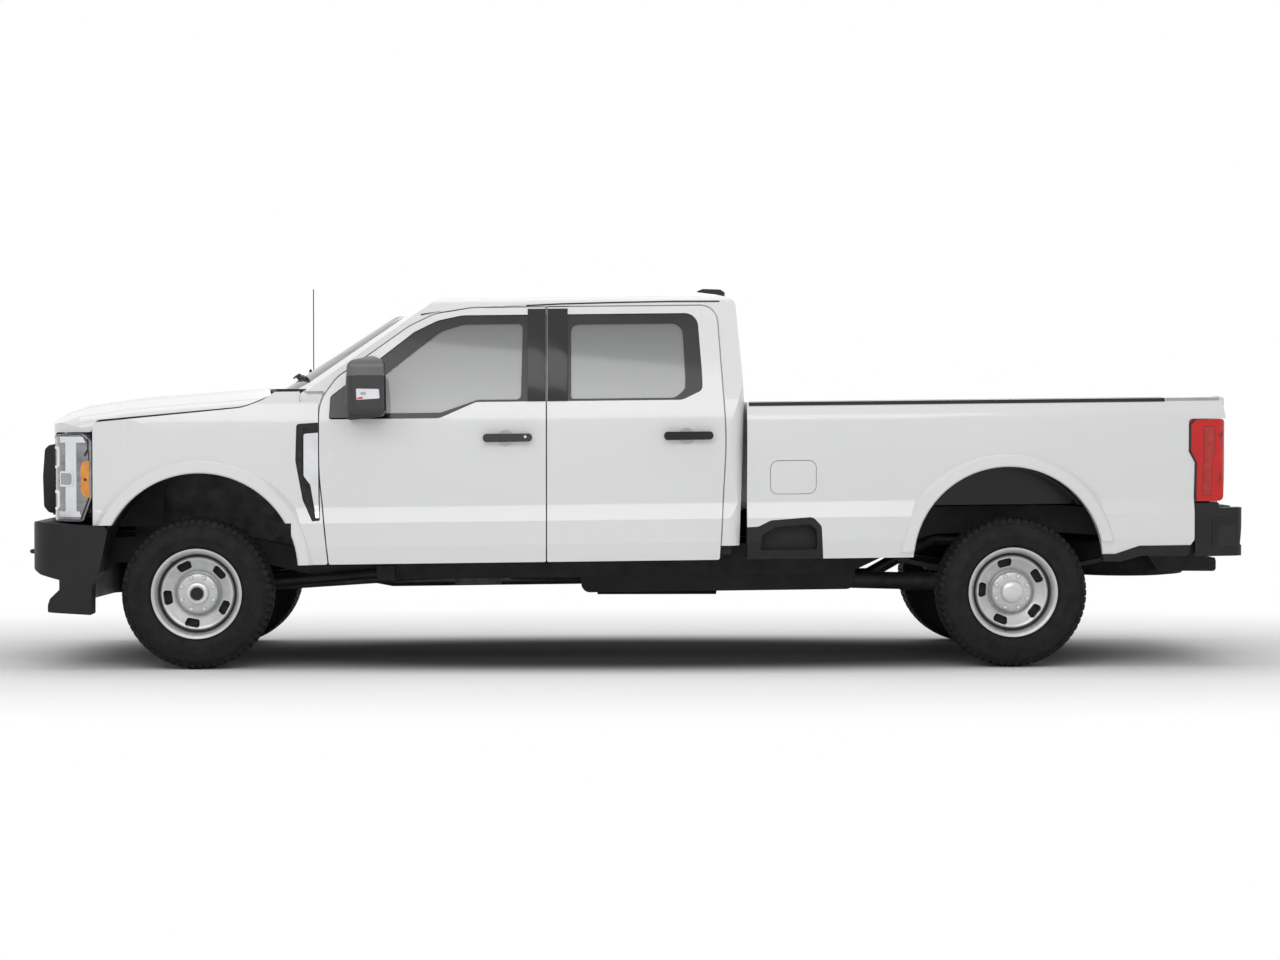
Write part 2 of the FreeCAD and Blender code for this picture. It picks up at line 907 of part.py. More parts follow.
def hood_outline():
    back = S.hood_back
    return [(S.nose_front, S.hood_nose_low, 0)] + hood_top(0) + [
        (back, S.fender_top + 8, 0),
        (back - 76, S.fender_top - 46 + S.panel_gap, 60),
        (S.fender_top_mid_back, S.fender_top_mid + S.panel_gap, 260),
        (-546, 1358 + S.panel_gap, 30),
        (-574, S.hood_low, 12),
        (-776, S.hood_low, 12),
        (-796, S.hood_nose_low, 0),
    ]


def hood_section(inset):
    top = 1538 - inset
    half = S.hood_half_width - inset
    return symmetric([
        (half, S.hood_nose_low - 4 * S.overrun, 0),
        (half, top - 66, S.hood_side_round),
        (S.hood_bulge_half_width + 20, top - S.hood_crown, 160),
        (S.hood_bulge_half_width - 40, top, 90),
    ])


def hood_bulk(outline, inset):
    # The crown follows the hood's own slope, from the nose up to the screen.
    stations = [(S.nose_front - S.overrun, 176), (-640, 92), (-345, 52), (S.hood_back + S.overrun, -4)]
    crown = []
    for back, drop in stations:
        corners = [(side, height - drop, radius) for side, height, radius in hood_section(inset)]
        crown.append(rounded_wire(corners, lambda spot, b=back: Vector(at(b), spot.x, lift(spot.y, b))))
    body = Part.makeLoft(crown, True, True)
    plan = plan_prism(nose_plan(S.nose_front, S.hood_half_width, inset), 0, S.roof_height)
    return across(outline).common(body).common(plan)


def hood():
    wall = S.hood_wall
    outer = hood_bulk(hood_outline(), 0).common(hood_arc(0))
    cavity = [(S.nose_front + wall, S.sill_height, 0)] + hood_top(wall) + [
        (S.hood_back - wall, S.sill_height, 0),
    ]
    return outer.cut(hood_bulk(cavity, wall).common(hood_arc(-wall))).removeSplitter()


# Grille, lamps and bumper

def grille():
    # A dark frame that stands proud of the nose, with three bars and stacked mesh between them.
    half = S.grille_half_width
    front = S.grille_front
    frame_face = [
        (half - 40, S.grille_low, 50),
        (half, S.grille_low + 90, 60),
        (half + 20, S.grille_high - 60, 60),
        (half - 10, S.grille_high, 50),
    ]
    deep = S.nose_front + S.grille_depth
    body = section_prism(symmetric(frame_face), front, deep)
    plan = plan_prism(nose_plan(front, half + 60, 0), 0, S.roof_height)
    body = body.common(plan)
    rim = S.grille_rim
    opening = [
        (half - 40 - rim, S.grille_low + rim, 30),
        (half - rim, S.grille_low + 90, 40),
        (half + 20 - rim, S.grille_high - 60, 40),
        (half - 10 - rim, S.grille_high - rim, 30),
    ]
    inside = section_prism(symmetric(opening), front - 1, deep + 1)
    mesh_back = section_prism(symmetric(opening), deep - S.grille_mesh, deep)
    body = body.cut(inside).fuse(mesh_back.common(plan))
    bars = []
    span = S.grille_high - S.grille_low
    for share in (0.24, 0.5, 0.76):
        level = S.grille_low + span * share
        proud = 0 if share == 0.5 else 14
        depth = S.grille_bar * (1.5 if share == 0.5 else 1)
        bar = section_prism([
            (half + 10, level - depth / 2, 8), (half + 10, level + depth / 2, 8),
            (-half - 10, level + depth / 2, 8), (-half - 10, level - depth / 2, 8),
        ], front + proud, deep)
        bar = bar.common(plan_prism(nose_plan(front + proud, half + 60, 0), 0, S.roof_height))
        bars.append(bar.common(section_prism(symmetric(frame_face), front - 1, deep)))
    slats = []
    count = 10
    for index in range(1, count):
        level = S.grille_low + rim + (span - 2 * rim) * index / count
        slat = section_prism([
            (half, level - 5, 0), (half, level + 5, 0), (-half, level + 5, 0), (-half, level - 5, 0),
        ], front + 40, deep)
        slat = slat.common(plan_prism(nose_plan(front + 36, half + 60, 0), 0, S.roof_height))
        slats.append(slat.common(section_prism(symmetric(frame_face), front - 1, deep)))
    return fused([body] + bars + slats)


def lamp_outline():
    return [
        (S.lamp_front, S.lamp_low, 20),
        (S.lamp_front + 4, S.lamp_high - 40, 30),
        (-770, S.lamp_high, 20),
        (-606, S.lamp_high, 30),
        (S.fender_front - 6, S.lamp_high - 40, 20),
        (S.fender_front - 6, 944, 60),
        (-612, S.lamp_low, 20),
    ]


def headlamp():
    side = side_prism(lamp_outline(), S.grille_half_width + 24, REACH)
    plan = plan_prism(nose_plan(S.lamp_front - 24, S.panel_half_width - S.fender_taper, 0), 0, S.roof_height)
    core = plan_prism(nose_plan(S.lamp_front - 24, S.panel_half_width - S.fender_taper, S.lamp_depth),
                      0, S.roof_height)
    return side.common(plan).cut(core)


def radiator_support():
    # The dark panel behind the grille and lamps, which stands on the front cross member.
    front = S.nose_front + S.grille_depth + S.seat_gap
    upper = block(front, front + 60, -S.fender_inner + 60, S.fender_inner - 60, S.lamp_low, S.hood_low - 30)
    side = S.frame_half_width - S.frame_rail_width - S.panel_gap
    low = lift(S.frame_front_low + 30 + S.frame_rail_height / 2, -760) + S.seat_gap
    foot = block(front, front + 60, -side, side, low, S.lamp_low + 1)
    return fused([upper, foot])


def bumper_outline():
    return [
        (-905, 803, 8),
        (-884, 816, 8),
        (-472, 784, 30),
        (-524, 532, 40),
        (-562, 470, 20),
        (-563, 306, 8),
        (-804, 323, 10),
        (-804, 361, 10),
        (-792, 396, 10),
        (-738, 446, 10),
        (-738, 499, 0),
        (-850, 528, 20),
        (-905, 560, 30),
    ]


def front_bumper():
    outline = across(bumper_outline())
    plan = plan_prism(nose_plan(-936, S.panel_half_width + 8, 0), 0, S.roof_height)
    core = plan_prism(nose_plan(-936, S.panel_half_width + 8, 150), 0, S.roof_height)
    core = core.common(block(-936, 0, -REACH, REACH, 500, S.roof_height))
    dam_core = plan_prism(nose_plan(-804, S.panel_half_width - 60, 60), 0, 505)
    core = core.fuse(block(S.frame_front - S.seat_gap, 0, -S.frame_half_width - 20, S.frame_half_width + 20, 500, 770))
    body = outline.common(plan).cut(core).cut(dam_core.cut(block(-936, -722, -REACH, REACH, 440, 600)))
    outer = S.frame_half_width
    inner = outer - S.frame_rail_width
    bracket = block(-840, S.frame_front - S.seat_gap, inner, outer, 570, 690)
    parts = [body, bracket, mirrored(bracket)]
    ring_back = S.hook_ring + S.hook_wire - S.front_overhang
    for side in (-S.hook_side, S.hook_side):
        shank = block(ring_back + S.hook_ring, ring_back + 162, side - S.hook_wire, side + S.hook_wire,
                      S.hook_height - S.hook_wire, S.hook_height + S.hook_wire)
        eye = Part.makeTorus(S.hook_ring, S.hook_wire, Vector(at(ring_back), side, S.hook_height), UP)
        parts += [shank, eye]
    return fused(parts)


# Load bed

def bedside_band():
    outside = lower_side(0)[:-2]
    outside += [(S.panel_half_width - S.shoulder_tuck, S.shoulder_height - 8, 140)]
    outside += [(S.panel_half_width - S.belt_tuck + 4, S.bed_top - 30, 24)]
    outside += [(S.panel_half_width - 1.4 * S.belt_tuck, S.bed_top, 8)]
    wall = S.bedside_wall
    inside = [
        (S.rail_inner, S.bed_top, 8),
        (S.rail_inner, S.bed_top - 40, 0),
        (S.bed_inner + S.bed_wall, S.bed_top - 40, 0),
        (S.panel_half_width - wall - 40, S.bed_top - 60, 0),
        (S.panel_half_width - wall, S.bulge_height, 0),
        (S.panel_half_width - S.crease_tuck - wall, S.crease_height, 0),
        (S.panel_half_width - S.sill_tuck - wall, S.bedside_low, 0),
    ]
    return outside + inside


def step_edge(gap):
    # The line where the painted side meets the black surround of the side step.
    front = S.bed_front
    return [
        (front + 418 - gap, S.bedside_low, 0),
        (front + 408 - gap, 742 - gap, 40),
        (front + 360 - gap, 792 - gap, 40),
        (front + 130, 776 - gap, 40),
        (front + 60, 742 - gap, 40),
        (front, 740 - gap, 0),
    ]


def bedside_outline():
    front = S.bed_front
    back = S.bedside_back
    return [
        (front, S.bed_top, 0),
        (back - 26, S.bed_top + 2, 30),
        (back - 4, S.tail_lamp_high, 0),
        (S.tail_lamp_front, S.tail_lamp_high, 20),
        (S.tail_lamp_front + 2, 1150, 60),
        (S.tail_lamp_front + 34, 1080, 40),
        (S.tail_lamp_front + 34, 640, 0),
        (S.tail_lamp_front + 14, 612, 0),
        (S.rear_wheel_back + 690, 612, 60),
        (S.rear_wheel_back + 560, 568, 20),
        (S.rear_wheel_back + 470, 568, 0),
        (S.rear_wheel_back + 400, 700, 0),
        (S.rear_wheel_back - 400, 700, 0),
        (S.rear_wheel_back - 470, 560, 20),
    ] + step_edge(0)


def bedside():
    span = (S.bed_front - S.overrun, S.bedside_back + S.overrun)
    body = section_prism(bedside_band(), *span).common(through(side_wire(bedside_outline())))
    ring = flare(S.rear_arch_back, S.rear_arch_height, S.rear_arch_radius)
    trim = [
        (S.bed_front + 600, S.roof_height, 0), (S.bedside_back - 200, S.roof_height, 0),
        (S.bedside_back - 200, 640, 0), (S.rear_arch_back, 640, 0), (S.bed_front + 600, 572, 0),
    ]
    ring = ring.common(through(side_wire(trim)))
    body = body.fuse(ring)
    body = body.cut(arch_cylinder(S.rear_arch_back, S.rear_arch_height, S.rear_arch_radius))
    return body.removeSplitter()


def fuel_door_outline():
    front = S.fuel_door_front
    low = S.fuel_door_low
    high = low + S.fuel_door_height
    back = front + S.fuel_door_length
    return [(front, low, S.fuel_door_round), (front, high, S.fuel_door_round),
            (back, high, S.fuel_door_round), (back, low, S.fuel_door_round)]


def bed_tub():
    # Floor, inner walls and front wall of the load bed, with boxes over the wheels.
    front = S.bed_front + 4
    back = S.gate_front - 22
    floor = section_prism([
        (S.bed_inner, S.bed_floor - S.bed_floor_wall, 0), (S.bed_inner, S.bed_floor, 0),
        (-S.bed_inner, S.bed_floor, 0), (-S.bed_inner, S.bed_floor - S.bed_floor_wall, 0),
    ], front, back)
    for index in range(9):
        side = (index - 4) * S.bed_inner / 5
        rib = section_prism([
            (side + 34, S.bed_floor, 0), (side + 26, S.bed_floor + 10, 0),
            (side - 26, S.bed_floor + 10, 0), (side - 34, S.bed_floor, 0),
        ], front + 60, back - 60)
        floor = floor.fuse(rib)
    wall_low = S.bed_floor - S.bed_floor_wall
    wall = section_prism([
        (S.bed_inner, wall_low, 0), (S.bed_inner + S.bed_wall, wall_low, 0),
        (S.bed_inner + S.bed_wall, S.bed_top - 40, 0), (S.bed_inner, S.bed_top - 40, 0),
    ], front, back)
    headboard = section_prism([
        (S.bed_inner, wall_low, 0), (S.bed_inner, S.bed_top - 40, 0),
        (S.rail_inner - S.seat_gap, S.bed_top - 40, 0), (S.rail_inner - S.seat_gap, S.bed_top - 6, 10),
        (S.seat_gap - S.rail_inner, S.bed_top - 6, 10), (S.seat_gap - S.rail_inner, S.bed_top - 40, 0),
        (-S.bed_inner, S.bed_top - 40, 0), (-S.bed_inner, wall_low, 0),
    ], front, front + 40)
    radius = S.rear_arch_radius
    house = cross_cylinder(radius, S.rear_arch_back, S.rear_arch_height, S.wheelhouse_half,
                           S.bed_inner + S.bed_wall)
    hollow = cross_cylinder(radius - S.bed_wall / 2, S.rear_arch_back, S.rear_arch_height,
                            S.wheelhouse_half + S.bed_wall / 2, S.bed_inner + S.bed_wall * 2)
    above = block(S.rear_arch_back - radius, S.rear_arch_back + radius, 0, REACH,
                  lift(wall_low, S.rear_arch_back) + 4, S.roof_height)
    house = house.common(above)
    post = gate_post()
    tub = fused([floor, wall, mirrored(wall), headboard, house, mirrored(house), post, mirrored(post)])
    return tub.cut(hollow).cut(mirrored(hollow))


def gate_pin(radius):
    far = S.gate_half_width + S.gate_side_gap
    return cross_cylinder(radius, S.gate_pivot_back, lift(S.gate_pivot_height, S.gate_pivot_back),
                          S.gate_half_width - S.gate_post_wall, far - S.seat_gap)


def gate_post():
    # The plate at the bed's rear corner that the gate's pin turns in.
    outer = S.gate_half_width + S.gate_side_gap - S.seat_gap
    inner = outer - S.gate_post_wall
    front = S.gate_front - S.overrun
    low = lift(S.bed_floor - S.bed_floor_wall, S.gate_front)
    high = lift(S.bed_floor, S.gate_front) + S.gate_post_rise
    plate = block(front, S.gate_pivot_back + S.gate_post_reach, inner, outer, low, high)
    web = block(front, S.gate_front - 22, inner, S.bed_inner + S.bed_wall / 2, low, high)
    return plate.fuse(web).cut(gate_pin(S.gate_pin_radius + S.running_gap))


def tail_lamp():
    outline = [
        (S.tail_lamp_front + 3, S.tail_lamp_high - 3, 12),
        (S.tail_lamp_front + 3, 1150, 60),
        (S.tail_lamp_front + 37, 1078, 40),
        (S.tail_lamp_front + 37, S.tail_lamp_low + 3, 12),
        (S.bedside_back - 12, S.tail_lamp_low + 3, 30),
        (S.bedside_back + 8, S.tail_lamp_high - 40, 40),
        (S.bedside_back - 16, S.tail_lamp_high - 3, 20),
    ]
    band = section_prism(bedside_band(), S.bed_front, S.bedside_back + S.overrun)
    fill = block(S.tail_lamp_front, S.bedside_back + S.overrun, S.gate_half_width + S.gate_side_gap,
                 S.panel_half_width - S.crease_tuck, 0, S.roof_height)
    shape = band.fuse(fill).common(through(side_wire(outline)))
    tub_side = S.bed_inner + S.bed_wall + S.seat_gap
    shape = shape.cut(block(0, S.gate_front - 22 + S.seat_gap, 0, tub_side, 0, S.roof_height))
    return shape.common(plan_prism([
        (S.tail_lamp_front - 1, S.gate_half_width + S.gate_side_gap, 0),
        (S.tail_lamp_front - 1, REACH, 0),
        (S.bedside_back - 50, REACH, 0),
        (S.bedside_back - 50, S.panel_half_width + 2, 0),
        (S.bedside_back - 4, S.panel_half_width - 30, 50),
        (S.bedside_back + 10, S.gate_half_width + S.gate_side_gap, 0),
    ], 0, S.roof_height))


def tailgate():
    front = S.gate_front
    back = front + S.gate_wall
    profile = [
        (front, S.gate_low, 10), (front, S.bed_top - 2, 10), (back - 30, S.bed_top + 8, 10),
        (back + 16, S.bed_top - 6, 6), (back + 16, S.bed_top - 50, 10), (back - 6, 1300, 200),
        (back - 6, 1010, 60), (back, 985, 20), (back, S.gate_low, 12),
    ]
    gate = side_prism(profile, -S.gate_half_width, S.gate_half_width)
    panel = block(back - 10, back + 20, -S.gate_half_width + 160, S.gate_half_width - 160,
                  lift(1010, back), lift(1290, back))
    handle = block(back - 26, back + 20, -120, 120, lift(1318, back), lift(1360, back))
    pin = gate_pin(S.gate_pin_radius)
    return fused([gate.cut(panel).cut(handle), pin, mirrored(pin)])


def rear_bumper():
    back = S.rear_overhang + S.wheelbase
    pad = [
        (S.tail_lamp_front + 38, 842, 8), (S.gate_front + 8, 842, 0), (S.gate_front + 8, 815, 0),
        (back - 16, 815, 10), (back - 18, 750, 10), (back - 36, 612, 6), (back, 596, 0),
        (back - 10, 550, 10), (S.tail_lamp_front + 44, 548, 20),
    ]
    body = across(pad)
    half = S.panel_half_width - 24
    plan = plan_prism([
        (S.tail_lamp_front, half, 0), (back - 26, half, 60), (back + 4, half - 300, 400),
        (back + 4, 300 - half, 400), (back - 26, -half, 60), (S.tail_lamp_front, -half, 0),
    ], 0, S.roof_height)
    core_back = back - 96
    core = plan_prism([
        (S.tail_lamp_front - 1, half - 60, 0), (core_back, half - 60, 60),
        (core_back, 60 - half, 60), (S.tail_lamp_front - 1, 60 - half, 0),
    ], 0, S.roof_height).common(across([
        (S.tail_lamp_front - 1, 0, 0), (S.tail_lamp_front - 1, 800, 0), (back, 800, 0), (back, 0, 0)]))
    step = block(back - 120, back + 40, half - 330, half - 120, lift(640, back), lift(900, back))
    side = S.bed_inner + S.bed_wall + S.panel_gap
    notch = block(S.tail_lamp_front, S.gate_front + S.gate_wall, -side, side,
                  S.gate_pivot_height + 60 - 74, S.roof_height)
    body = body.common(plan).cut(core).cut(step).cut(mirrored(step)).cut(notch)
    outer = S.frame_half_width
    bracket = block(S.frame_back + S.seat_gap, core_back + 10, outer - S.frame_rail_width, outer,
                    lift(S.frame_rear_low + 10, back), lift(S.frame_rear_low + 140, back))
    return fused([body, bracket, mirrored(bracket)])


# Chassis frame

def rail_outline(inset):
    low = S.frame_low + inset
    high = S.frame_low + S.frame_rail_height - inset
    front_low = S.frame_front_low + inset
    front_high = S.frame_front_low + S.frame_rail_height * 0.8 - inset
    arch_low = S.frame_arch_low + inset
    arch_high = S.frame_arch_low + S.frame_rail_height * 0.86 - inset
    rear_low = S.frame_rear_low + inset
    rear_high = S.frame_rear_low + S.frame_rail_height * 0.86 - inset
    axle = S.rear_wheel_back
    return [
        (S.frame_front + inset, front_high, 0), (180, front_high, 240), (540, high, 240),
        (axle - 900, high, 240), (axle - 420, arch_high, 240), (axle + 340, arch_high, 240),
        (axle + 700, rear_high, 200), (S.frame_back - inset, rear_high, 0),
        (S.frame_back - inset, rear_low, 0), (axle + 660, rear_low, 200), (axle + 300, arch_low, 240),
        (axle - 380, arch_low, 240), (axle - 860, low, 240), (700, low, 240), (260, front_low, 240),
        (S.frame_front + inset, front_low, 0),
    ]


def frame():
    outer = S.frame_half_width
    inner = outer - S.frame_rail_width
    rail = side_prism(rail_outline(0), inner, outer)
    channel = side_prism(rail_outline(S.frame_rail_wall), inner - 1, outer - S.frame_rail_wall)
    rail = rail.cut(channel)
    members = []
    high = S.frame_low + S.frame_rail_height / 2
    stations = [(-760, S.frame_front_low + 30, 90), (-330, S.frame_front_low - 20, 70), (1760, high, 90),
                (2540, high, 80), (3280, high, 80), (3840, S.frame_low + 120, 80),
                (S.rear_wheel_back - 330, S.frame_arch_low + 40, 70), (S.rear_wheel_back + 420, 690, 70),
                (S.frame_back - 90, S.frame_rear_low + 30, 90)]
    for back, low, width in stations:
        low = lift(low, back)
        high = low + S.frame_rail_height / 2
        reach = outer - S.frame_rail_wall / 2
        beam = block(back, back + width, -reach, reach, low, high)
        void = block(back + S.frame_rail_wall, back + width - S.frame_rail_wall, -REACH, REACH,
                     low - 1, high - S.frame_rail_wall)
        members.append(beam.cut(void))
    members += hitch()
    members += body_mounts()
    box = steering_box()
    whole = fused([rail, mirrored(rail)] + members + [box])
    return whole.cut(hitch_bore()).cut(pitman_bore())


def hitch():
    # Side plates under the rails, a cross tube behind the spare wheel and the receiver in its middle.
    outer = S.frame_half_width
    wall = S.frame_rail_wall
    plate = side_prism([
        (5321, S.frame_rear_low + 20, 0), (5321, 521, 20), (5378, S.hitch_low, 20), (5709, S.hitch_low - 6, 20),
        (5709, S.hitch_low + 66, 20), (5640, S.hitch_low + 76, 20), (5598, S.frame_rear_low - 30, 20),
        (5590, S.frame_rear_low + 20, 0),
    ], outer - wall, outer + wall)
    low = lift(S.hitch_low, 5680)
    tube = block(5644, 5706, -outer - wall, outer + wall, low, low + 70)
    size = S.hitch_bore / 2 + wall
    receiver = block(5650, 5740, -size, size, low, low + 2 * size)
    return [plate, mirrored(plate), tube, receiver]


def hitch_bore():
    low = lift(S.hitch_low, 5680) + S.frame_rail_wall
    half = S.hitch_bore / 2
    return block(5650 - 1, 5740 + 1, -half, half, low, low + S.hitch_bore)


def body_mounts():
    # Rubber pucks under the cab's floor and under the bed.
    puck = []
    side = S.frame_half_width - S.frame_rail_width / 2
    stations = [(760, S.frame_low + S.frame_rail_height, S.cab_floor), (1900, S.frame_low + S.frame_rail_height, S.cab_floor),
                (2820, S.frame_low + S.frame_rail_height, S.cab_floor)]
    arch_top = S.frame_arch_low + S.frame_rail_height * 0.86
    floor = S.bed_floor - S.bed_floor_wall
    stations += [(S.rear_wheel_back - 240, arch_top, floor), (S.rear_wheel_back + 200, arch_top, floor)]
    for back, low, high in stations:
        low = lift(low, back) - S.frame_rail_wall / 2
        high = lift(high, back) - 2 * S.seat_gap
        for way in (1, -1):
            puck.append(Part.makeCylinder(28, high - low, Vector(at(back), side * way, low), UP))
    return puck


# Axles, suspension and drive line

def front_axle():
    # Live axle: tube, offset final drive, and a forked yoke at each end for the kingpin.
    level = S.tyre_radius
    centre = Vector(at(0), 0, level)
    yoke = S.yoke_side
    tube = cross_cylinder(S.axle_tube_radius, 0, level, -yoke, yoke)
    case = Part.makeSphere(S.case_radius, centre + LEFT * S.case_side)
    case = case.common(block(-S.case_half, S.case_half, 0, S.case_side * 2, 0, 2 * level))
    snout = rod(S.snout_radius, centre + LEFT * S.case_side, centre + LEFT * S.case_side - FORWARD * S.snout_length)
    body = fused([tube, case, snout])
    wall = S.yoke_wall
    reach = S.yoke_height + wall / 2
    web = block(-S.yoke_radius, S.yoke_radius, yoke - wall, yoke + wall / 2, level - reach, level + reach)
    fork = [web]
    for side in (1, -1):
        height = level + side * S.yoke_height - wall / 2
        fork.append(Part.makeCylinder(S.yoke_radius, wall, Vector(at(0), S.kingpin_side, height), UP))
        fork.append(block(-S.yoke_radius, S.yoke_radius, yoke, S.kingpin_side, height, height + wall))
    fork = fused(fork)
    bore = Part.makeCylinder(S.kingpin_radius + S.running_gap, 4 * reach,
                             Vector(at(0), S.kingpin_side, level - 2 * reach), UP)
    fork = fork.cut(bore)
    return fused([body, fork, mirrored(fork)])


def knuckle():
    # Left steering knuckle: kingpin, core, spindle, brake caliper and a forward steering arm.
    level = S.tyre_radius
    pin = Vector(at(0), S.kingpin_side, level)
    wall = S.yoke_wall
    reach = S.yoke_height + wall / 2
    post = Part.makeCylinder(S.kingpin_radius, 2 * reach, pin - UP * reach, UP)
    half = S.yoke_height - wall / 2 - S.seat_gap
    core = Part.makeCylinder(S.yoke_radius, 2 * half, pin - UP * half, UP)
    wheel = S.front_track / 2
    flange = cross_cylinder(S.flange_plate_radius, 0, level, S.kingpin_side, wheel - S.hub_inner - S.panel_gap)
    spindle = cross_cylinder(S.hub_bore, 0, level, S.kingpin_side, wheel + S.spindle_reach)
    arm_end = pin + Vector(S.steer_arm, 0, -S.steer_drop)
    arm = rod(S.link_radius, pin - UP * S.steer_drop, arm_end)
    eye = Part.makeCylinder(S.eye_radius, S.eye_height, arm_end - UP * S.eye_height / 2, UP)
    bore = Part.makeCylinder(S.ball_radius + S.running_gap, 2 * S.eye_height, arm_end - UP * S.eye_height, UP)
    body = fused([post, core, flange, spindle, arm, eye, caliper(wheel, 0)])
    return body.cut(bore)


def caliper(wheel, back):
    # A bridge over the brake disc, on a plate that stands inboard of the hub.
    level = S.tyre_radius
    inner = wheel - S.hub_inner - S.panel_gap - S.yoke_wall
    outer = wheel - S.brake_offset + S.brake_disc_width + S.yoke_wall
    ring = cross_cylinder(S.caliper_radius, back, level, inner, outer)
    ring = ring.cut(cross_cylinder(S.brake_disc_radius * 0.66, back, level, 0, REACH))
    slot = cross_cylinder(S.brake_disc_radius + S.panel_gap, back, level,
                          wheel - S.brake_offset - S.panel_gap, wheel - S.brake_offset + S.brake_disc_width + S.panel_gap)
    ring = ring.cut(slot)
    sector = block(back + S.brake_disc_radius * 0.3, back + S.tyre_radius, 0, REACH,
                   level - S.caliper_half, level + S.caliper_half)
    plate = cross_cylinder(S.caliper_radius, back, level, inner, inner + S.yoke_wall)
    return ring.common(sector).fuse(plate.common(block(
        back, back + S.tyre_radius, 0, REACH, level - S.caliper_half, level + S.caliper_half)))


def steering_linkage():
    # Tie rod between the two arms, and the drag link from the pitman arm to the right end.
    level = S.tyre_radius - S.steer_drop
    below = S.eye_height + S.eye_gap
    left = Vector(at(-S.steer_arm), S.kingpin_side, level)
    right = Vector(left.x, -left.y, level)
    parts = [rod(S.link_radius, left - UP * below, right - UP * below)]
    for end in (left, right):
        stud = Part.makeCylinder(S.ball_radius, below + S.eye_height / 2, end - UP * below, UP)
        cap = Part.makeCylinder(S.eye_radius, S.eye_height, end - UP * (below + S.eye_height / 2), UP)
        parts += [stud, cap]
    pitman = pitman_end()
    joint = Vector(pitman.x, pitman.y, level - below)
    parts.append(rod(S.link_radius, joint, right - UP * below + LEFT * S.drag_link_inset))
    parts.append(Part.makeCylinder(S.eye_radius, S.eye_height, joint - UP * S.eye_height / 2, UP))
    parts.append(Part.makeCylinder(S.ball_radius, pitman.z + S.eye_height / 2 - joint.z, joint, UP))
    return fused(parts)


def pitman_pivot():
    return Vector(at(-S.pitman_front), S.pitman_side, S.tyre_radius - S.steer_drop)


def pitman_end():
    return pitman_pivot() + FORWARD * S.steer_arm


def pitman_arm():
    pivot = pitman_pivot()
    end = pitman_end()
    arm = rod(S.link_radius, pivot, end)
    eye = Part.makeCylinder(S.eye_radius, S.eye_height, end - UP * S.eye_height / 2, UP)
    boss = Part.makeCylinder(S.eye_radius * 1.3, S.eye_height, pivot - UP * S.eye_height / 2, UP)
    shaft = Part.makeCylinder(S.kingpin_radius, S.pitman_shaft, pivot, UP)
    bore = Part.makeCylinder(S.ball_radius + S.running_gap, 2 * S.eye_height, end - UP * S.eye_height, UP)
    return fused([arm, eye, boss, shaft]).cut(bore)


def steering_box():
    pivot = pitman_pivot()
    low = pivot.z + S.eye_height / 2 + S.panel_gap
    high = pivot.z + S.pitman_shaft + S.panel_gap
    box = Part.makeCylinder(S.eye_radius * 2, high - low, Vector(pivot.x, pivot.y, low), UP)
    bracket = block(-S.pitman_front - 40, -S.pitman_front + 40, S.frame_half_width - S.frame_rail_wall / 2,
                    S.pitman_side, high - 50, high)
    return box.fuse(bracket)


def pitman_bore():
    pivot = pitman_pivot()
    return Part.makeCylinder(S.kingpin_radius + S.running_gap, S.pitman_shaft + S.running_gap, pivot, UP)


def rear_axle():
    back = S.rear_wheel_back
    level = S.tyre_radius
    centre = Vector(at(back), 0, level)
    inner = S.rear_track / 2 - S.hub_inner - S.panel_gap
    tube = cross_cylinder(S.axle_tube_radius * 1.2, back, level, -inner, inner)
    stubs = cross_cylinder(S.hub_bore, back, level, -S.rear_track / 2 - S.spindle_reach,
                           S.rear_track / 2 + S.spindle_reach)
    case = Part.makeSphere(S.case_radius * 1.15, centre)
    case = case.common(block(back - S.case_half * 1.3, back + S.case_half * 1.3, -REACH, REACH, 0, 2 * level))
    snout = rod(S.snout_radius, centre, centre + FORWARD * S.snout_length)
    brake = caliper(S.rear_track / 2, back)
    return fused([tube, stubs, case, snout, brake, mirrored(brake)])


def coil_spring(radius, wire, foot, height, turns):
    # Stacked turns stand for the coil, joined by the sleeve inside it.
    rings = [Part.makeCylinder(radius - wire * 0.7, height, foot, UP)]
    pitch = height / turns
    for turn in range(turns):
        level = foot + UP * (pitch * (turn + 0.5))
        rings.append(Part.makeTorus(radius, wire, level, UP))
    return fused(rings)


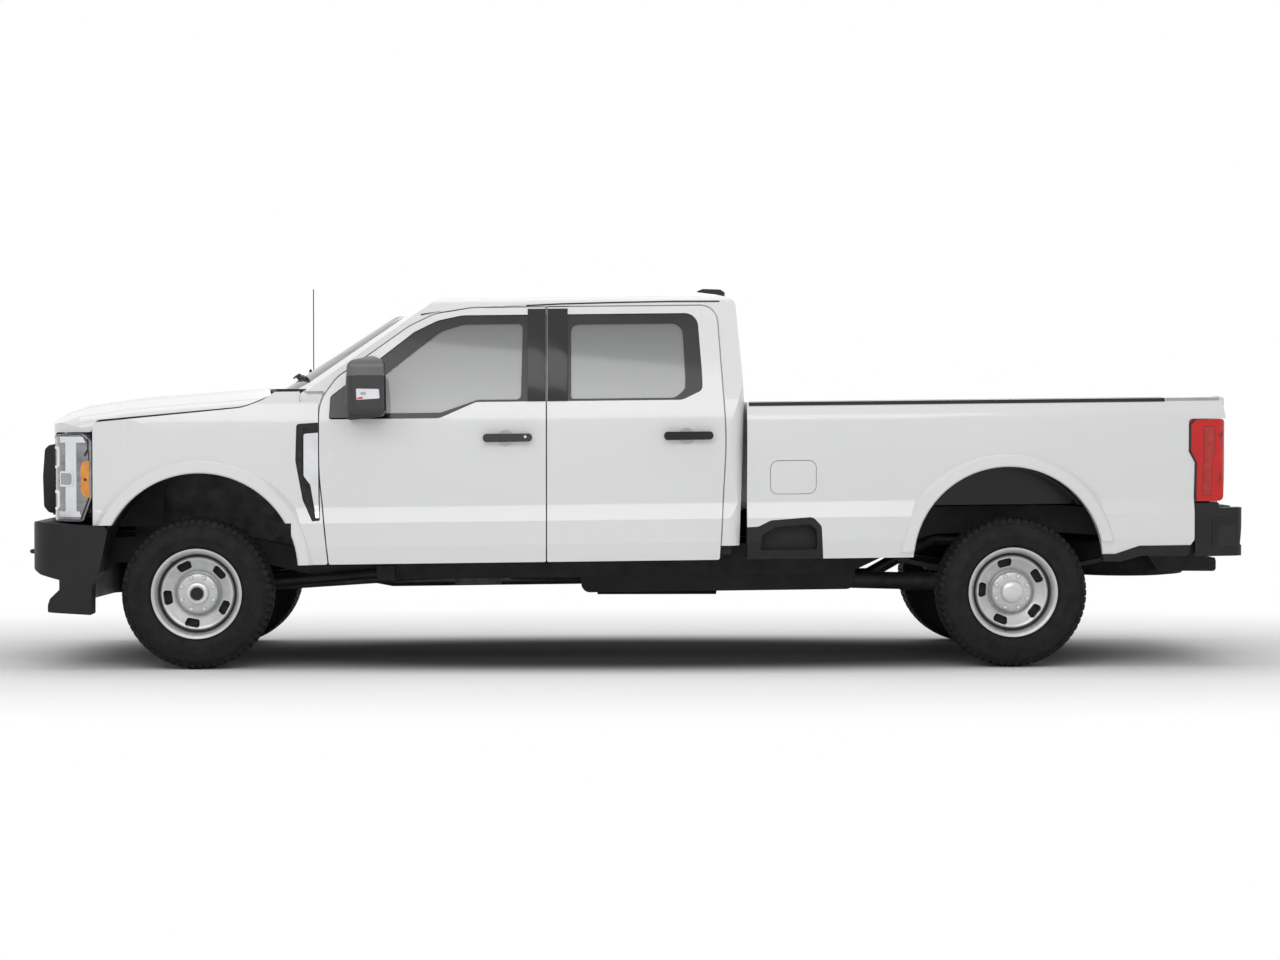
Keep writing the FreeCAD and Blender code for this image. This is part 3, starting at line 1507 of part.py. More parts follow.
def suspension():
    parts = []
    level = S.tyre_radius
    # Front coil springs on the axle tube, dampers behind them and radius arms to the rails.
    seat_top = lift(S.frame_front_low, 0) + S.spring_top_rise
    seat = level + S.axle_tube_radius
    foot = Vector(at(0), S.spring_side, seat)
    spring = coil_spring(S.spring_radius, S.spring_wire, foot, seat_top - seat, 6)
    tower = block(-S.spring_radius - 20, 190, S.frame_half_width, S.spring_side + S.spring_radius + 20,
                  seat_top, seat_top + 16)
    damper = rod(26, Vector(at(110), S.spring_side + 20, level - 30), Vector(at(150), S.spring_side + 20, seat_top + 8))
    lug = block(S.axle_tube_radius + S.seat_gap, 120, S.spring_side, S.spring_side + 40, level - 16, level + 16)
    arm_start = Vector(at(S.axle_tube_radius + 3), S.spring_side - 60, level)
    arm_end = Vector(at(1000), S.spring_side - 40, lift(S.frame_low + 40, 1000))
    arm = rod(26, arm_start, arm_end)
    anchor = block(950, 1050, S.frame_half_width, S.spring_side - 10, arm_end.z - 40, arm_end.z + 40)
    front = fused([spring, tower, damper, lug])
    link = fused([arm, anchor])
    # Rear leaf packs: an arched main leaf with shorter leaves under it.
    side = S.leaf_side
    pad_low = level + S.axle_tube_radius * 1.2
    for index, share in enumerate((1, 0.8, 0.6, 0.4)):
        half = S.leaf_half * share
        thick = S.leaf_wall
        sag = S.leaf_arch * share * share
        middle = pad_low + (3 - index) * thick
        bottom = [Vector(at(S.rear_wheel_back - half), side, middle + sag), Vector(at(S.rear_wheel_back), side, middle),
                  Vector(at(S.rear_wheel_back + half), side, middle + sag)]
        top = [point + UP * thick for point in bottom]
        face = Part.Face(Part.Wire([
            Part.Arc(*bottom).toShape(), Part.LineSegment(bottom[2], top[2]).toShape(),
            Part.Arc(*top).toShape(), Part.LineSegment(top[0], bottom[0]).toShape()]))
        parts.append(face.extrude(LEFT * S.leaf_width))
    hangers = []
    for way in (-1, 1):
        back = S.rear_wheel_back + way * S.leaf_half
        high = 700 if way < 0 else 770
        hangers.append(block(back - 40, back + 40, S.frame_half_width, side + S.leaf_width, 600, high))
    leaves = fused(parts + hangers)
    top = lift(S.frame_arch_low, S.rear_wheel_back + 270)
    rear_damper = rod(28, Vector(at(S.rear_wheel_back + 110), 399, level - 50),
                      Vector(at(S.rear_wheel_back + 200), 399, top - 10))
    lug = block(S.rear_wheel_back + S.axle_tube_radius * 1.2 + S.seat_gap, S.rear_wheel_back + 120, 384, 414,
                level - 16, level + 16)
    clamp = block(S.rear_wheel_back - 60, S.rear_wheel_back + 60, side - 6, side + S.leaf_width + 6,
                  pad_low + 4 * S.leaf_wall, pad_low + 4 * S.leaf_wall + 18)
    group = [front, link, fused([leaves, clamp]), fused([rear_damper, lug])]
    return Part.makeCompound(group + [mirrored(piece) for piece in group])


# Wheels

def body_plane(body, role):
    for feature in body.Origin.OriginFeatures:
        if feature.Role == role:
            return feature
    raise RuntimeError(role)


def outline_sketch(body, label, points):
    # A closed outline of (radius, width) corners, with the wheel's own axis up the sketch.
    sketch = body.newObject("Sketcher::SketchObject", label)
    sketch.AttachmentSupport = [(body_plane(body, "XY_Plane"), "")]
    sketch.MapMode = "FlatFace"
    spots = [Vector(radius, width, 0) for radius, width in points]
    for start, end in zip(spots, spots[1:] + spots[:1]):
        sketch.addGeometry(Part.LineSegment(start, end), False)
    return sketch


def turned(body, label, points):
    sketch = outline_sketch(body, label + "_outline", points)
    turn = body.newObject("PartDesign::Revolution", label)
    turn.Profile = sketch
    turn.ReferenceAxis = (sketch, ["V_Axis"])
    turn.Angle = 360
    return turn


def tyre_points():
    half = S.tyre_width / 2
    radius = S.tyre_radius
    bead = S.bead_radius + S.seat_gap
    seat = S.rim_width / 2 - S.flange_width - S.seat_gap
    wall = S.tyre_wall
    side = (radius - bead)
    outer = [
        (bead, seat), (bead + side * 0.11, seat), (bead + side * 0.24, half - wall), (bead + side * 0.5, half),
        (bead + side * 0.76, half - wall * 0.4), (bead + side * 0.9, half - wall * 1.3),
        (radius - 2, half - S.tread_edge), (radius, half - S.tread_edge * 1.5),
    ]
    inner = [
        (radius - 1.4 * wall, half - S.tread_edge * 1.4), (bead + side * 0.76, half - wall * 1.4),
        (bead + side * 0.5, half - wall), (bead + side * 0.24, half - 2 * wall), (bead, seat - wall),
    ]
    flip = [(r, -w) for r, w in reversed(outer)]
    flip_inner = [(r, -w) for r, w in reversed(inner)]
    return outer + flip + flip_inner + inner


def rim_points():
    half = S.rim_width / 2
    wall = S.rim_wall
    bead = S.bead_radius
    well = S.well_radius + wall
    offset = S.disc_offset
    dish = offset - S.dish_depth
    hub = S.hub_face_radius
    return [
        (S.flange_radius, half), (S.flange_radius, half - S.flange_width), (bead, half - S.flange_width),
        (bead, half * 0.5), (well, half * 0.36), (well, -half * 0.42), (bead, -half * 0.58),
        (bead, S.flange_width - half), (S.flange_radius, S.flange_width - half), (S.flange_radius, -half),
        (bead - wall + 3, -half), (bead - wall, 3 - half), (bead - wall, -half * 0.6),
        (well - wall, -half * 0.44), (well - wall, offset - S.disc_wall * 2), (hub + 20, dish - S.disc_wall),
        (S.hub_radius, dish - S.disc_wall), (S.hub_radius, S.brake_disc_width - S.brake_offset),
        (S.brake_disc_radius, S.brake_disc_width - S.brake_offset), (S.brake_disc_radius, -S.brake_offset),
        (S.hub_radius, -S.brake_offset), (S.hub_radius, -S.hub_inner),
        (S.hub_bore + S.running_gap, -S.hub_inner), (S.hub_bore + S.running_gap, S.spindle_reach + S.panel_gap),
        (0, S.spindle_reach + S.panel_gap), (0, offset + S.hub_cap_length * 0.6),
        (S.hub_cap_radius - 8, offset + S.hub_cap_length * 0.6),
        (S.hub_cap_radius, offset + S.hub_cap_length * 0.5), (S.hub_cap_radius, dish + S.hub_face_depth),
        (hub - 10, dish + S.hub_face_depth - 4), (hub, dish + S.hub_face_depth - 12), (hub, dish + 2),
        (hub + 18, dish + 4), (S.disc_radius - 30, offset + 4), (S.disc_radius - 8, offset + 10),
        (S.disc_radius, offset + 2), (well - wall, offset - 4), (bead - wall, half * 0.66),
        (bead - wall, half - 3), (bead - wall + 3, half),
    ]


def face_sketch(body, label, forward):
    # A sketch across the wheel's axis, some way outboard of its middle.
    sketch = body.newObject("Sketcher::SketchObject", label)
    sketch.AttachmentSupport = [(body_plane(body, "XZ_Plane"), "")]
    sketch.MapMode = "FlatFace"
    sketch.AttachmentOffset = Placement(Vector(0, 0, -forward), Rotation())
    return sketch


def pattern(body, label, feature, count):
    ring = body.newObject("PartDesign::PolarPattern", label)
    ring.Originals = [feature]
    ring.Axis = (body_plane(body, "Y_Axis"), [""])
    ring.Angle = 360
    ring.Occurrences = count
    body.Tip = ring
    return ring


def rim(label, holes_turn):
    body = doc.addObject("PartDesign::Body", "rim_" + label)
    body.Label = "rim_" + label
    turned(body, "rim_turn_" + label, rim_points())
    doc.recompute()
    # Five rounded hand holes through the disc, repeated round the hub.
    holes = face_sketch(body, "hole_outline_" + label, 0)
    wide = S.hand_hole_radius
    ring = S.hand_hole_circle
    corners = [(wide * 1.3, ring + wide, wide * 0.6), (wide * 0.9, ring - wide, wide * 0.5),
               (-wide * 0.9, ring - wide, wide * 0.5), (-wide * 1.3, ring + wide, wide * 0.6)]
    turn = Rotation(UP, holes_turn)
    wire = rounded_wire(corners, lambda spot: turn.multVec(Vector(spot.x, spot.y, 0)))
    for edge in wire.Edges:
        curve = edge.Curve
        if isinstance(curve, Part.Circle):
            holes.addGeometry(Part.ArcOfCircle(curve, edge.FirstParameter, edge.LastParameter), False)
        else:
            holes.addGeometry(Part.LineSegment(edge.Vertexes[0].Point, edge.Vertexes[1].Point), False)
    pocket = body.newObject("PartDesign::Pocket", "hand_hole_" + label)
    pocket.Profile = holes
    pocket.Reversed = True
    pocket.setExpression("Length", "sizes.rim_width")
    doc.recompute()
    solid = pocket.Shape.Volume
    pattern(body, "hand_holes_" + label, pocket, 5)
    doc.recompute()
    # Eight wheel nuts stand on the hub's face.
    nuts = face_sketch(body, "nut_outline_" + label, S.disc_offset - S.dish_depth + S.hub_face_depth - 6)
    nuts.addGeometry(Part.Circle(Vector(0, S.stud_circle / 2, 0), UP, S.stud_radius), False)
    nut = body.newObject("PartDesign::Pad", "nut_" + label)
    nut.Profile = nuts
    nut.Reversed = True
    nut.setExpression("Length", "sizes.stud_length")
    doc.recompute()
    pattern(body, "nuts_" + label, nut, 8)
    doc.recompute()
    return body


def tyre(label):
    body = doc.addObject("PartDesign::Body", "tyre_" + label)
    body.Label = "tyre_" + label
    turned(body, "tyre_turn_" + label, tyre_points())
    doc.recompute()
    return body


def wheels():
    stations = [("front", 0, S.front_track / 2), ("rear", S.rear_wheel_back, S.rear_track / 2)]
    for end, back, half_track in stations:
        for name, side, turn in [("left", 1, 0), ("right", -1, 180)]:
            place = Placement(Vector(at(back), side * half_track, S.tyre_radius), Rotation(UP, turn))
            rim(f"{end}_{name}", 26).Placement = place
            tyre(f"{end}_{name}").Placement = place


# Inside the cab

def seats():
    parts = []
    profile = [
        (0, 0, 0), (-20, 250, 50), (0, 315, 50), (430, 285, 60), (600, 920, 50), (700, 930, 50),
        (610, 300, 60), (520, 0, 0),
    ]

    def one(back, low, side, half, scale):
        corners = [(back + u, low + v * scale, r) for u, v, r in profile]
        return side_prism(corners, side - half, side + half)

    floor = S.cab_floor + S.floor_wall
    head = [(590, 960, 30), (600, 1110, 40), (690, 1120, 40), (700, 960, 30)]
    for back, half, sides in [(1330, 255, (400, -400)), (2140, 700, (0,))]:
        for side in sides:
            shape = one(back, floor, side, half, 0.86)
            parts.append(shape)
    for back, sides in [(1330, (400, -400)), (2140, (420, -420))]:
        for side in sides:
            corners = [(back + u, floor + v * 0.86 - 40, r) for u, v, r in head]
            parts.append(side_prism(corners, side - 130, side + 130))
    return fused(parts)


def dashboard():
    half = S.panel_half_width - S.door_depth - S.overrun
    front = S.cab_front + S.cab_wall + S.seat_gap
    return side_prism([
        (front, 1010, 0), (front, 1420, 40), (front + 140, 1480, 60), (front + 360, 1440, 60),
        (front + 400, 1330, 60), (front + 330, 1040, 60),
    ], -half, half)


def column_frame():
    centre = Vector(at(S.steering_back), S.steering_side, lift(S.steering_height, S.steering_back))
    tilt = math.radians(S.column_angle)
    axis = Vector(-math.cos(tilt), 0, math.sin(tilt))
    return centre, axis


def steering_wheel():
    centre, axis = column_frame()
    rim = Part.makeTorus(S.steering_radius, S.steering_rim_radius, centre, axis)
    hub = Part.makeCylinder(S.steering_hub_radius, S.steering_hub_depth, centre - axis * S.steering_hub_depth, axis)
    across_wheel = LEFT
    up_wheel = axis.cross(LEFT)
    spokes = []
    for direction in (across_wheel, across_wheel * -1, up_wheel * (1 if up_wheel.z < 0 else -1)):
        start = centre - axis * S.steering_hub_depth * 0.5
        spokes.append(rod(S.steering_rim_radius * 0.8, start, centre + direction * S.steering_radius))
    shaft = Part.makeCylinder(S.kingpin_radius, S.column_length, centre - axis * S.column_length, axis)
    return fused([rim, hub, shaft] + spokes)


def steering_column():
    centre, axis = column_frame()
    start = centre - axis * (S.column_length + S.panel_gap)
    sleeve = Part.makeCylinder(S.kingpin_radius * 2, S.column_length - S.steering_hub_depth - S.panel_gap,
                               start, axis)
    bore = Part.makeCylinder(S.kingpin_radius + S.running_gap, 2 * S.column_length,
                             start + axis * S.panel_gap, axis)
    return sleeve, bore



# Trim, glass and small pieces of the body

def fender_vent():
    inset = grown(vent_outline(), -S.seat_gap)
    band = section_prism(side_band(0, S.vent_depth, S.vent_depth), S.nose_front, S.cab_back)
    cap = band.common(through(side_wire(inset))).common(through(side_wire(fender_outline())))
    back = S.front_door_front
    for index in range(int(S.vent_slots)):
        low = 900 + index * 62
        slot = [(back - 104, low, 10), (back - 60, low + 8, 10), (back - 60, low + 40, 10), (back - 104, low + 36, 10)]
        cutter = through(side_wire(slot)).common(skin_cutter(S.vent_depth / 2))
        cap = cap.cut(cutter)
    return cap


def liners():
    front = wheel_liner(S.front_arch_back, S.front_arch_height, S.front_arch_radius, S.liner_inner,
                        S.front_arch_height - S.arch_wall, S.cab_front - S.panel_gap)
    rear = wheel_liner(S.rear_arch_back, S.rear_arch_height, S.rear_arch_radius, S.bed_inner + S.bed_wall,
                       S.rear_arch_height + S.overrun, S.bedside_back)
    return front, rear


def cowl():
    # A tray between the hood and the screen, with a lip that meets the glass.
    side = S.fender_inner - S.seat_gap
    low = lift(S.fender_top - 40, S.hood_back)
    mid = lift(S.fender_top, S.hood_back)
    back = S.cab_front
    tray = plan_prism([(S.cowl_front, side, 0), (back, side, 0), (back, -side, 0), (S.cowl_front, -side, 0)],
                      low, mid)
    lip = plan_prism([(S.cowl_front, side, 0), (back + 40, side, 0), (back + 40, -side, 0),
                      (S.cowl_front, -side, 0)], mid, mid + 16)
    lip = lip.cut(screen_band(0, S.screen_run * 1.5, 2 * S.overrun))
    return tray.fuse(lip).cut(hood_arc(S.panel_gap + 3)).removeSplitter()


def hood_arc(gap):
    # What lies ahead of the hood's bowed rear edge.
    side = REACH
    ends = [Vector(at(S.hood_back + gap + S.hood_bow * 0.32), s, 0) for s in (side, -side)]
    crown = Vector(at(S.hood_back - S.hood_bow + gap), 0, 0)
    front = [Vector(at(S.nose_front * 2), s, 0) for s in (side, -side)]
    face = Part.Face(Part.Wire([
        Part.Arc(ends[0], crown, ends[1]).toShape(),
        Part.LineSegment(ends[1], front[1]).toShape(),
        Part.LineSegment(front[1], front[0]).toShape(),
        Part.LineSegment(front[0], ends[0]).toShape(),
    ]))
    return face.extrude(UP * S.roof_height)


def mirror():
    low = S.mirror_low
    high = S.mirror_high
    front = S.mirror_front
    back = S.mirror_back
    outline = [(front, low + 70, 60), (front + 16, high - 30, 50), (back - 60, high, 40),
               (back, high - 30, 40), (back + 4, low + 20, 30), (front + 90, low, 40)]
    head = side_prism(outline, S.mirror_inner, S.mirror_outer)
    face = [(S.mirror_inner, low - 1, 40), (S.mirror_inner + 16, high + 1, 70), (S.mirror_outer - 14, high + 1, 70),
            (S.mirror_outer, low - 1, 60)]
    head = head.common(section_prism(face, front - 1, back + 20))
    head = head.common(plan_prism([
        (front, S.mirror_inner, 30), (front, S.mirror_outer, 80), (back + 20, S.mirror_outer, 20),
        (back + 20, S.mirror_inner, 20)], 0, S.roof_height))
    recess = block(back - 24, back + 60, S.mirror_inner + 22, S.mirror_outer - 22, lift(low + 46, back), lift(high - 40, back))
    head = head.cut(recess)
    arm = side_prism([(front + 6, low - 4, 14), (front + 20, low + 70, 14), (front + 90, low + 74, 14),
                      (front + 100, low + 4, 14)], S.panel_half_width - S.belt_tuck, S.mirror_inner + 20)
    foot_front = S.front_door_front + 60
    foot = side_prism([(foot_front, 1362, 8), (foot_front + 4, 1470, 20), (foot_front + 190, 1640, 20),
                       (foot_front + 215, 1362, 8)], 0, REACH)
    plate = [
        (glass_line(1300, -10), 1300, 0), (glass_line(1700, -10), 1700, 0),
        (glass_line(1700, S.glass_tuck - 0.3), 1700, 0), (glass_line(1300, S.glass_tuck - 0.3), 1300, 0)]
    foot = foot.common(section_prism(plate, S.front_door_front, S.door_split))
    return fused([head, arm, foot])


def handle(back):
    level = S.handle_level
    half = S.handle_thickness / 2
    face = S.panel_half_width - S.shoulder_tuck
    bar = side_prism([
        (back, level - half, half * 0.9), (back, level + half, half * 0.9),
        (back + S.handle_length, level + half * 0.96, half * 0.9),
        (back + S.handle_length, level - half * 0.96, half * 0.9),
    ], face, S.panel_half_width + S.handle_stand)
    grip = block(back + S.handle_length * 0.18, back + S.handle_length * 0.74, 0,
                 S.panel_half_width + S.handle_stand * 0.5, lift(level - 2 * half, back), lift(level + 3 * half, back))
    return bar.cut(grip)


def bed_moulding():
    # Black mouldings: the side step's surround and tread, and a strip behind the rear wheel.
    front = S.bed_front + 4
    surround = step_edge(S.seat_gap) + [(S.bed_front, S.bedside_low, 0)]
    opening = [
        (front + 70, S.bedside_low + 50, 12), (front + 76, 694, 14), (front + 150, 740, 20), (front + 340, 752, 20),
        (front + 376, 722, 20), (front + 380, S.bedside_low + 50, 12),
    ]
    band = section_prism(side_band(0, 90, 90), S.bed_front, S.bed_front + 600)
    body = band.common(through(side_wire(surround)))
    pocket = through(side_wire(opening)).common(block(0, S.bedside_back, S.panel_half_width - 80, REACH, 0, 1500))
    body = body.cut(pocket)
    strip = [
        (S.rear_wheel_back + 486, 567.7, 0), (S.rear_wheel_back + 560, 567.7, 20), (S.rear_wheel_back + 690, 611.7, 60),
        (S.tail_lamp_front + 14, 611.7, 0), (S.tail_lamp_front + 6, 552, 20), (S.rear_wheel_back + 706, 556, 60),
        (S.rear_wheel_back + 590, 526, 20), (S.rear_wheel_back + 500, 526, 10),
    ]
    rear = section_prism([
        (S.panel_half_width - 70, 500, 0), (S.panel_half_width - 70, 660, 0),
        (S.panel_half_width - 4, 660, 0), (S.panel_half_width - 22, 500, 0)], S.bed_front, S.bedside_back)
    return body, rear.common(through(side_wire(strip)))


def fuel_door():
    band = section_prism(side_band(0, S.fuel_door_wall, S.fuel_door_wall), S.bed_front, S.bedside_back)
    panel = band.common(through(side_wire(fuel_door_outline())))
    pocket = through(side_wire(grown(fuel_door_outline(), S.fuel_door_gap))).common(skin_cutter(S.fuel_pocket_depth))
    cap_place = Vector(at(S.fuel_door_front + S.fuel_door_length / 2), S.panel_half_width - S.fuel_pocket_depth - 12,
                       lift(S.fuel_door_low + S.fuel_door_height / 2, S.fuel_door_front))
    cap = Part.makeCylinder(36, S.fuel_pocket_depth + 12, cap_place, LEFT).common(
        section_prism(side_band(S.fuel_door_wall + 4, S.fuel_pocket_depth - S.seat_gap,
                                S.fuel_pocket_depth - S.seat_gap),
                      S.bed_front, S.bedside_back))
    stop = Part.makeCylinder(S.stop_radius, REACH, Vector(
        at(S.fuel_door_front + S.fuel_door_length - 3 * S.stop_radius), 0,
        lift(S.fuel_door_low + S.fuel_door_height / 2, S.fuel_door_front)), LEFT)
    stop = stop.common(skin_cutter(S.fuel_pocket_depth + 1)).cut(skin_cutter(S.fuel_door_wall + S.seat_gap))
    return panel, pocket, cap, stop


def roof_lamp():
    low = S.roof_height - 30
    return side_prism([
        (2752, low, 0), (2770, S.roof_height + 4, 10), (2800, S.roof_height + 15, 10), (2900, S.roof_height + 11, 10),
        (2926, S.roof_height - 6, 8), (2926, low, 0)], -S.roof_lamp_half, S.roof_lamp_half)


def antenna():
    foot = Vector(at(S.antenna_back), -S.antenna_side, lift(S.fender_top, S.antenna_back) + 2 * S.seat_gap)
    base = Part.makeCone(18, 9, 30, foot, UP)
    mast = Part.makeCylinder(3, S.antenna_top - foot.z, foot, UP)
    return base.fuse(mast)


# Under the floor

def engine():
    # The engine's block, with a mount on each rail.
    body = block(-430, 500, -300, 300, 640, 1200)
    top = lift(S.frame_front_low + S.frame_rail_height * 0.8, 60)
    foot = block(-60, 60, 290, S.frame_half_width - 10, top + S.seat_gap, top + 60)
    return fused([body, foot, mirrored(foot)])


def driveline():
    box = side_prism([(500 + S.seat_gap, 480, 0), (500 + S.seat_gap, 760, 0), (545, 760, 0), (550, 618, 0),
                      (1120, 618, 30), (1300, 600, 30), (1700, 516, 30),
                      (1700, 430, 30), (1180, 420, 60), (1000, 470, 40)], -150, 150)
    rear_end = Vector(at(S.rear_wheel_back - S.snout_length - 3), 0, S.tyre_radius)
    rear_start = Vector(at(1690), 0, lift(460, 1700))
    shaft = rod(50, rear_start, rear_end)
    drop = block(1380, 1640, 120, 260, lift(400, 1500), lift(540, 1500))
    front_end = Vector(at(S.snout_length + 3), S.case_side, S.tyre_radius)
    front = rod(34, Vector(at(1400), S.case_side, lift(470, 1400)), front_end)
    return fused([box, shaft, drop, front])


def exhaust():
    z = S.frame_low - 46
    points = [(430, -250, 640 - S.seat_gap), (430, -250, 540), (700, -250, lift(z + 60, 700)),
              (1000, -250, lift(z, 1000)), (3800, -250, lift(z, 3800)),
              (4180, -300, 650), (4810, -300, 650), (4810, -560, 636), (5010, -640, 580), (5060, -870, 545)]
    spots = [Vector(at(b), y, h) for b, y, h in points]
    parts = [rod(S.pipe_radius, a, b) for a, b in zip(spots, spots[1:])]
    parts += [Part.makeSphere(S.pipe_radius, spot) for spot in spots[1:-1]]
    muffler = Part.makeCylinder(95, 700, Vector(at(2900), -250, lift(z - 8, 2550)), FORWARD)
    return fused(parts + [muffler])


def fuel_tank():
    high = S.frame_low + S.frame_rail_height / 2 - S.seat_gap - S.rake * 80
    return side_prism([(2100, 352, 50), (2100, high, 20), (3660, high, 20), (3660, 352, 50)], 90, 350)


def spare():
    centre = Vector(at(S.spare_back), 0, S.spare_height)
    width = S.tyre_width * 0.88
    points = [(S.bead_radius, -width / 2 + 12), (S.bead_radius + 70, -width / 2), (S.spare_radius - 30, -width / 2 + 8),
              (S.spare_radius, -width / 2 + 40), (S.spare_radius, width / 2 - 40), (S.spare_radius - 30, width / 2 - 8),
              (S.bead_radius + 70, width / 2), (S.bead_radius, width / 2 - 12), (S.bead_radius, 30), (40, 30),
              (40, 10), (S.bead_radius, 10)]
    spots = [centre + FORWARD * radius + UP * level for radius, level in points]
    face = Part.Face(Part.makePolygon(spots + spots[:1]))
    return face.revolve(centre, UP, 360)


# Assembly

solid_cab = cab_solid()
add("frame", frame())
add("engine_block", engine())
add("driveline", driveline())
add("exhaust", exhaust())
add("fuel_tank", fuel_tank())
add("front_axle", front_axle())
add("rear_axle", rear_axle())
add("suspension", suspension())
add("spare_wheel", spare())
left_knuckle = knuckle()
add("knuckle_left", left_knuckle)
add("knuckle_right", mirrored(left_knuckle))
add("steering_linkage", steering_linkage())
add("pitman_arm", pitman_arm())
wheels()

add("cab", cab_shell(solid_cab))
sill_box = rocker()
add("rockers", both(sill_box))
add("cab_glass", cab_glass())
add("seats", seats())
sleeve, column_bore = steering_column()
add("dashboard", dashboard().fuse(sleeve).cut(column_bore))
add("steering_wheel", steering_wheel())

fender = front_fender()
add("fenders", both(fender))
lamp = headlamp()
bumper = front_bumper()
surround, strip = bed_moulding()
side_panel = bedside()
front_liner, rear_liner = liners()
front_liner = front_liner.cut(fender).cut(bumper)
rear_liner = rear_liner.cut(side_panel)
add("wheel_liners", Part.makeCompound([front_liner, rear_liner, mirrored(front_liner), mirrored(rear_liner)]))
add("radiator_support", radiator_support().cut(both(lamp)))
add("grille", grille())
add("headlamps", both(lamp))
add("front_bumper", bumper)
add("hood", hood())

bed = bed_tub()
add("bed", bed)
fuel_panel, fuel_pocket, fuel_cap, fuel_stop = fuel_door()
add("bedsides", Part.makeCompound([side_panel.cut(fuel_pocket).fuse(fuel_stop), mirrored(side_panel)]))
add("fuel_door", fuel_panel)
lamp = tail_lamp()
add("tail_lamps", Part.makeCompound([lamp, mirrored(lamp), roof_lamp().cut(solid_cab)]))
add("tailgate", tailgate())
add("rear_bumper", rear_bumper())
vent = fender_vent()
mouldings = [surround, strip, vent]
mouldings += [mirrored(piece) for piece in mouldings]
mouldings += [cowl().cut(solid_cab), antenna(), fuel_cap]
add("mouldings", Part.makeCompound(mouldings))
seals = [door_seal(front_door_outline(), S.front_door_front), door_seal(rear_door_outline(), rear_door_outline()[0][0])]
add("door_seals", Part.makeCompound(seals + [mirrored(seal) for seal in seals]))

openings = [
    ("front", front_door_outline(), front_window_outline(), S.front_handle_back),
    ("rear", rear_door_outline(), rear_window_outline(), S.rear_handle_back),
]
for end, outline, window, handle_back in openings:
    panel = door_panel(outline, window).cut(handle_bowl(handle_back))
    glass = door_glass(window)
    pieces = [handle(handle_back)]
    if end == "front":
        pieces.append(mirror())
    trim = [piece.cut(panel).cut(glass) for piece in pieces]
    trim = Part.makeCompound(trim)
    for side, place in [("left", lambda shape: shape), ("right", mirrored)]:
        add(f"door_{end}_{side}", place(panel))
        add(f"glass_{end}_{side}", place(glass))
        add(f"trim_{end}_{side}", place(trim))

doc.recompute()

NODES = [thing for thing in doc.Objects if thing.isDerivedFrom("Part::Feature")
         and (thing.TypeId in ("Part::Feature", "PartDesign::Body"))]
for thing in doc.Objects:
    state = set(thing.State)
    if state & {"Invalid", "Error"}:
        raise RuntimeError(f"{thing.Label}: {sorted(state)}")
os.makedirs("parts", exist_ok=True)
for node in NODES:
    shape = node.Shape
    if shape.isNull() or not shape.isValid() or not shape.Solids or shape.Volume <= 0:
        raise RuntimeError(f"{node.Label}: the shape is not sound")
    if any(solid.Volume <= 0 for solid in shape.Solids):
        raise RuntimeError(f"{node.Label}: a solid has no volume")
    shape.exportStep(os.path.join("parts", node.Label + ".step"))
    print(node.Label, len(shape.Solids), round(shape.Volume / 1e6, 3))
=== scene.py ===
import math
import bpy
import bmesh
from mathutils import Matrix, Vector
from mathutils.bvhtree import BVHTree


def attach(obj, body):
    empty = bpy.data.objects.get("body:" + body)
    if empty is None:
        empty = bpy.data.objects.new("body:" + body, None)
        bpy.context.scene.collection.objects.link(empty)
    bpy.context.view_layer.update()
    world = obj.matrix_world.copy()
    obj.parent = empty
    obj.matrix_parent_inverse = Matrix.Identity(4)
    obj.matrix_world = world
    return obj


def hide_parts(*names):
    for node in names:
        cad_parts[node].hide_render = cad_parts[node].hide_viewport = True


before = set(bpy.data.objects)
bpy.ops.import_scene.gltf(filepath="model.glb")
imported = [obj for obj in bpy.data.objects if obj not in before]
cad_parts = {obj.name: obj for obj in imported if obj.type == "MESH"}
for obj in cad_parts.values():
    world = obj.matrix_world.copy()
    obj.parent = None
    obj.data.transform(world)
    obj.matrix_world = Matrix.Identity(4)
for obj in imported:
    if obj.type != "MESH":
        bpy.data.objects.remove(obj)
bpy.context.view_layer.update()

# White crew cab pickup. +X is forward, +Y the truck's left, +Z up, in metres.
# "back" is a distance behind the front axle. The side windows' heights are taken at that axle and rise
# backwards by the rake, as in the CAD. All other heights are above the ground.

truck = {
    "frontAxle": 2.380,
    "rake": 0.011,
    "halfWidth": 1.002,
    "beltHeight": 1.440,
    "beltTuck": 0.030,
    "glassLean": 0.295,
    "wheelHeight": 0.412,
}
sides = [("left", 1), ("right", -1)]


def spot(back, side, height):
    return Vector((truck["frontAxle"] - back, side, height + truck["rake"] * back))


def atSide(back, level):
    return Vector((truck["frontAxle"] - back, 0, level))


def glassSide(height, inset):
    belt = truck["halfWidth"] - truck["beltTuck"] - inset
    return belt - truck["glassLean"] * (height - truck["beltHeight"])


# Materials

def newMaterial(name):
    material = bpy.data.materials.new(name)
    material.use_nodes = True
    tree = material.node_tree
    return material, tree, tree.nodes["Principled BSDF"]


def wire(tree, node, values):
    # Links a node's sockets to other nodes' outputs, or sets the numbers on them.
    for socket, value in values.items():
        if isinstance(value, bpy.types.NodeSocket):
            tree.links.new(value, node.inputs[socket])
        else:
            node.inputs[socket].default_value = value


def newNode(tree, kind, values):
    node = tree.nodes.new("ShaderNode" + kind)
    wire(tree, node, values)
    return node


def compute(tree, operation, *values):
    node = newNode(tree, "Math", dict(enumerate(values)))
    node.operation = operation
    return node.outputs["Value"]


def measure(tree, operation, *vectors):
    node = newNode(tree, "VectorMath", dict(enumerate(vectors)))
    node.operation = operation
    return node.outputs["Value" if operation in ("LENGTH", "DISTANCE") else "Vector"]


